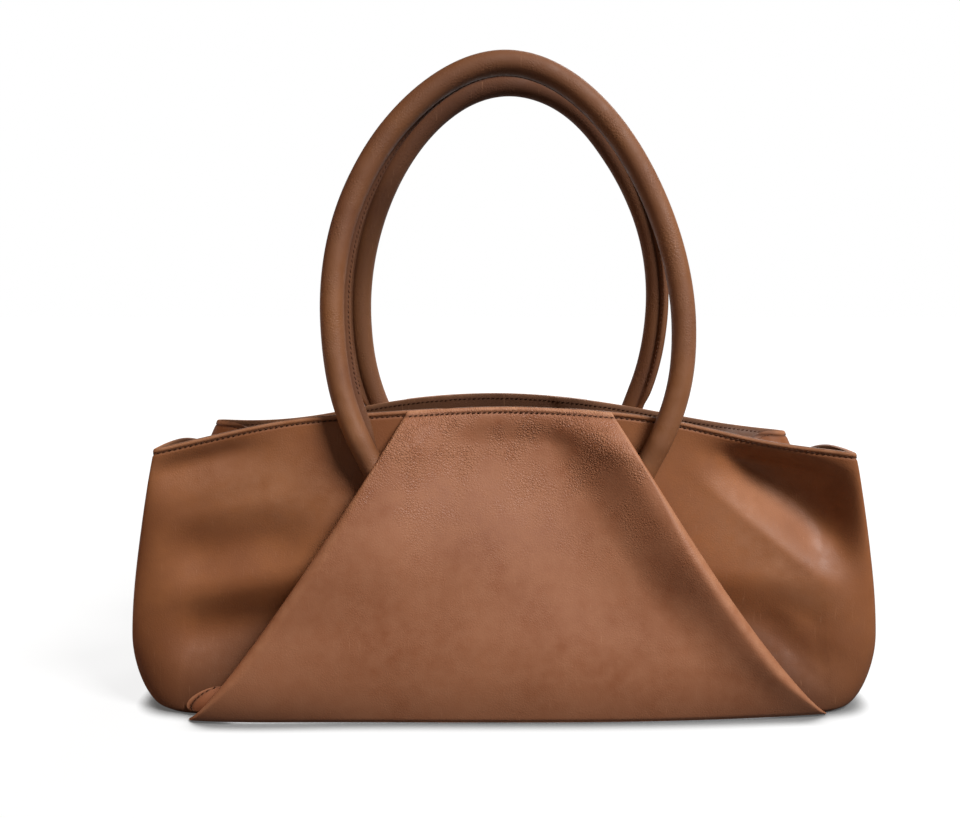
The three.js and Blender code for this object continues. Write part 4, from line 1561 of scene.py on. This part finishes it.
class HANDBAG_OT_stitching(bpy.types.Operator):
    """Sews the rim, inside and outside, both sides of the handles' fins and the tab"""

    bl_idname = "handbag.stitching"
    bl_label = "Stitching"

    def execute(self, context):
        for face in FACES:
            sew(f"{face.name}_rim_stitches", rim_rows(face), "bag")
            sew(f"{face.name}_handle_stitches", fin_rows(face), f"{face.name}_handle")
        sew("front_tab_stitches", [tab_row()], "bag")
        return {"FINISHED"}


class HANDBAG_OT_hidden_parts(bpy.types.Operator):
    """Finishes the packed parts that stay: the snap, its washers and the board"""

    bl_idname = "handbag.hidden_parts"
    bl_label = "Snap and Board"

    def execute(self, context):
        brass = made_once("plated_brass", plated_brass)
        finishes = {
            "snap_socket": brass, "snap_stud": brass, "front_snap_washer": brass, "back_snap_washer": brass,
            "base_board": made_once("pressed_fibre_board", pressed_board),
        }
        for name, material in finishes.items():
            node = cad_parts[name]
            node.data.materials.clear()
            node.data.materials.append(material)
        return {"FINISHED"}


def seen_or_mirrored(tree, depth, start, end):
    """1 for rays from the camera, and, past the bag's depth, for mirrored rays and rays through glass"""
    path = add_node(tree, "ShaderNodeLightPath")
    both = add_node(tree, "ShaderNodeMath", {
        0: path.outputs["Is Glossy Ray"], 1: path.outputs["Is Transmission Ray"]}, operation="MAXIMUM")
    along = add_node(tree, "ShaderNodeSeparateXYZ", {"Vector": depth})
    behind = add_node(tree, "ShaderNodeMapRange", {
        "Value": along.outputs["Y"], "From Min": start, "From Max": end})
    mirrored = add_node(tree, "ShaderNodeMath", {
        0: both.outputs["Value"], 1: behind.outputs["Result"]}, operation="MULTIPLY")
    return add_node(tree, "ShaderNodeMath", {
        0: path.outputs["Is Camera Ray"], 1: mirrored.outputs["Value"]}, operation="MAXIMUM").outputs["Value"]


def pale_floor():
    """Matt white studio paper: mostly its own white to the camera, so that a soft shadow stays"""
    studio = bpy.context.scene.handbag_studio
    material, tree = new_material("white_studio_paper")
    place = add_node(tree, "ShaderNodeNewGeometry").outputs["Position"]
    fibre = add_node(tree, "ShaderNodeTexNoise", {"Vector": place, "Scale": 1 / (2.5 * MM), "Detail": 3.0})
    bump = add_node(tree, "ShaderNodeBump", {"Height": fibre.outputs["Fac"], "Strength": 0.02})
    paper = add_node(tree, "ShaderNodeBsdfDiffuse", {"Color": studio.floor, "Normal": bump.outputs["Normal"]})
    # The paper's own white grows with distance, so that the far edge of the floor doesn't show
    distance = add_node(tree, "ShaderNodeVectorMath", {0: place}, operation="LENGTH")
    own_white = add_node(tree, "ShaderNodeMapRange", {
        "Value": distance.outputs["Value"], "From Min": 0.3, "From Max": 1.0, "To Min": 0.86, "To Max": 1.0})
    # It is dimmed by occlusion within 11 mm of the bag, which paints a contact shadow under the edge, where
    # its own white would otherwise wash out the shadow
    overhung = add_node(tree, "ShaderNodeAmbientOcclusion", {"Distance": 11 * MM}, samples=8)
    open_share = add_node(tree, "ShaderNodeMapRange", {
        "Value": overhung.outputs["AO"], "From Min": 0.45, "From Max": 0.95, "To Min": 0.1})
    white_with_painted_shadow = add_node(tree, "ShaderNodeMath", {
        0: own_white.outputs["Result"], 1: open_share.outputs["Result"]}, operation="MULTIPLY")
    share = add_node(tree, "ShaderNodeMath", {
        0: seen_or_mirrored(tree, place, start=0.1, end=0.4),
        1: white_with_painted_shadow.outputs["Value"]}, operation="MULTIPLY")
    white = add_node(tree, "ShaderNodeEmission", {"Color": (1, 1, 1, 1), "Strength": share.outputs["Value"]})
    seen = add_node(tree, "ShaderNodeAddShader", {0: paper.outputs["BSDF"], 1: white.outputs["Emission"]})
    add_node(tree, "ShaderNodeOutputMaterial", {"Surface": seen.outputs["Shader"]})
    return material


def white_surround(strength):
    """Even light from all round, white behind the bag"""
    world = bpy.data.worlds.new("white_surround")
    world.use_nodes = True
    tree = world.node_tree
    tree.nodes.clear()
    lit = add_node(tree, "ShaderNodeBackground", {"Color": (1, 1, 1, 1), "Strength": strength})
    white = add_node(tree, "ShaderNodeBackground", {"Color": (1, 1, 1, 1), "Strength": 1.0})
    ray = add_node(tree, "ShaderNodeTexCoord").outputs["Generated"]
    share = seen_or_mirrored(tree, ray, start=0.6, end=1.0)
    seen = add_node(tree, "ShaderNodeMixShader", {
        0: share, 1: lit.outputs["Background"], 2: white.outputs["Background"]})
    add_node(tree, "ShaderNodeOutputWorld", {"Surface": seen.outputs["Shader"]})
    bpy.context.scene.world = world


LAMP_TARGET = (0, 0, 0.14)
WARM = "#ffdcbc"


def soft_box(name, place, *, size, power, tint="#ffffff", mirrored=True):
    """A square lamp that faces the middle of the bag; one that isn't mirrored leaves no gloss"""
    deselect_all()
    bpy.ops.object.light_add(type="AREA", location=place)
    lamp = bpy.context.object
    lamp.name = name
    lamp.data.shape = "SQUARE"
    lamp.data.size = size
    lamp.data.energy = power
    lamp.data.color = linear(tint)[:3]
    lamp.visible_glossy = mirrored
    aim = np.array(LAMP_TARGET) - np.array(place)
    flat = math.hypot(aim[0], aim[1])
    lamp.rotation_euler = (math.atan2(flat, -aim[2]), 0, math.atan2(-aim[0], aim[1]))


class HANDBAG_OT_stage(bpy.types.Operator):
    """Sets the pale floor, the soft lamps, the white surround and the camera"""

    bl_idname = "handbag.stage"
    bl_label = "Studio"

    def execute(self, context):
        studio = context.scene.handbag_studio
        deselect_all()
        bpy.ops.mesh.primitive_plane_add(size=2 * studio.floor_half_size)
        floor = context.object
        floor.name = "studio_floor"
        floor.data.materials.append(pale_floor())
        white_surround(strength=0.06)
        soft_box("key_lamp", (0.95, -1.02, 1.55), size=0.6, power=60)
        soft_box("fill_lamp", (-0.6, -1.9, 1.0), size=1.2, power=4.5, tint=WARM, mirrored=False)
        soft_box("side_lamp", (-1.9, 0.1, 0.3), size=0.9, power=11, tint=WARM, mirrored=False)
        soft_box("back_lamp", (0.7, 1.6, 1.5), size=1.0, power=28)
        deselect_all()
        bpy.ops.object.camera_add(
            location=(studio.camera_offset, -studio.camera_distance, studio.camera_height),
            rotation=(math.pi / 2 - studio.camera_pitch, 0, 0))
        camera = context.object
        camera.name = "studio_camera"
        camera.data.lens = studio.lens
        camera.data.clip_start = 0.01
        context.scene.camera = camera
        context.scene.view_settings.view_transform = "Standard"
        return {"FINISHED"}


STEPS = (
    HANDBAG_OT_base,
    HANDBAG_OT_inside,
    HANDBAG_OT_handles,
    HANDBAG_OT_side_panels,
    HANDBAG_OT_centre_panels,
    HANDBAG_OT_stitching,
    HANDBAG_OT_hidden_parts,
    HANDBAG_OT_stage,
)


class HANDBAG_PT_sidebar(bpy.types.Panel):
    """The handbag's steps and sizes"""

    bl_idname = "HANDBAG_PT_sidebar"
    bl_label = "Leather Handbag"
    bl_space_type = "VIEW_3D"
    bl_region_type = "UI"
    bl_category = "Handbag"

    def draw(self, context):
        for step in STEPS:
            self.layout.operator(step.bl_idname)
        for name, group in GROUPS.items():
            box = self.layout.box()
            box.label(text=group.__doc__)
            for size in group.__annotations__:
                box.prop(getattr(context.scene, name), size)


GROUPS = {
    "handbag_body": HandbagBody,
    "handbag_pleat": HandbagPleat,
    "handbag_handle": HandbagHandle,
    "handbag_stitching": HandbagStitching,
    "handbag_finish": HandbagFinish,
    "handbag_studio": HandbagStudio,
}
CLASSES = (*GROUPS.values(), *STEPS, HANDBAG_PT_sidebar)


def register():
    for item in CLASSES:
        bpy.utils.register_class(item)
    for name, group in GROUPS.items():
        setattr(bpy.types.Scene, name, bpy.props.PointerProperty(type=group))


def unregister():
    for name in GROUPS:
        delattr(bpy.types.Scene, name)
    for item in reversed(CLASSES):
        bpy.utils.unregister_class(item)


def main():
    register()
    bpy.ops.handbag.base()
    bpy.ops.handbag.inside()
    bpy.ops.handbag.handles()
    bpy.ops.handbag.side_panels()
    bpy.ops.handbag.centre_panels()
    bpy.ops.handbag.stitching()
    bpy.ops.handbag.hidden_parts()
    bpy.ops.handbag.stage()


if __name__ == "__main__":
    main()
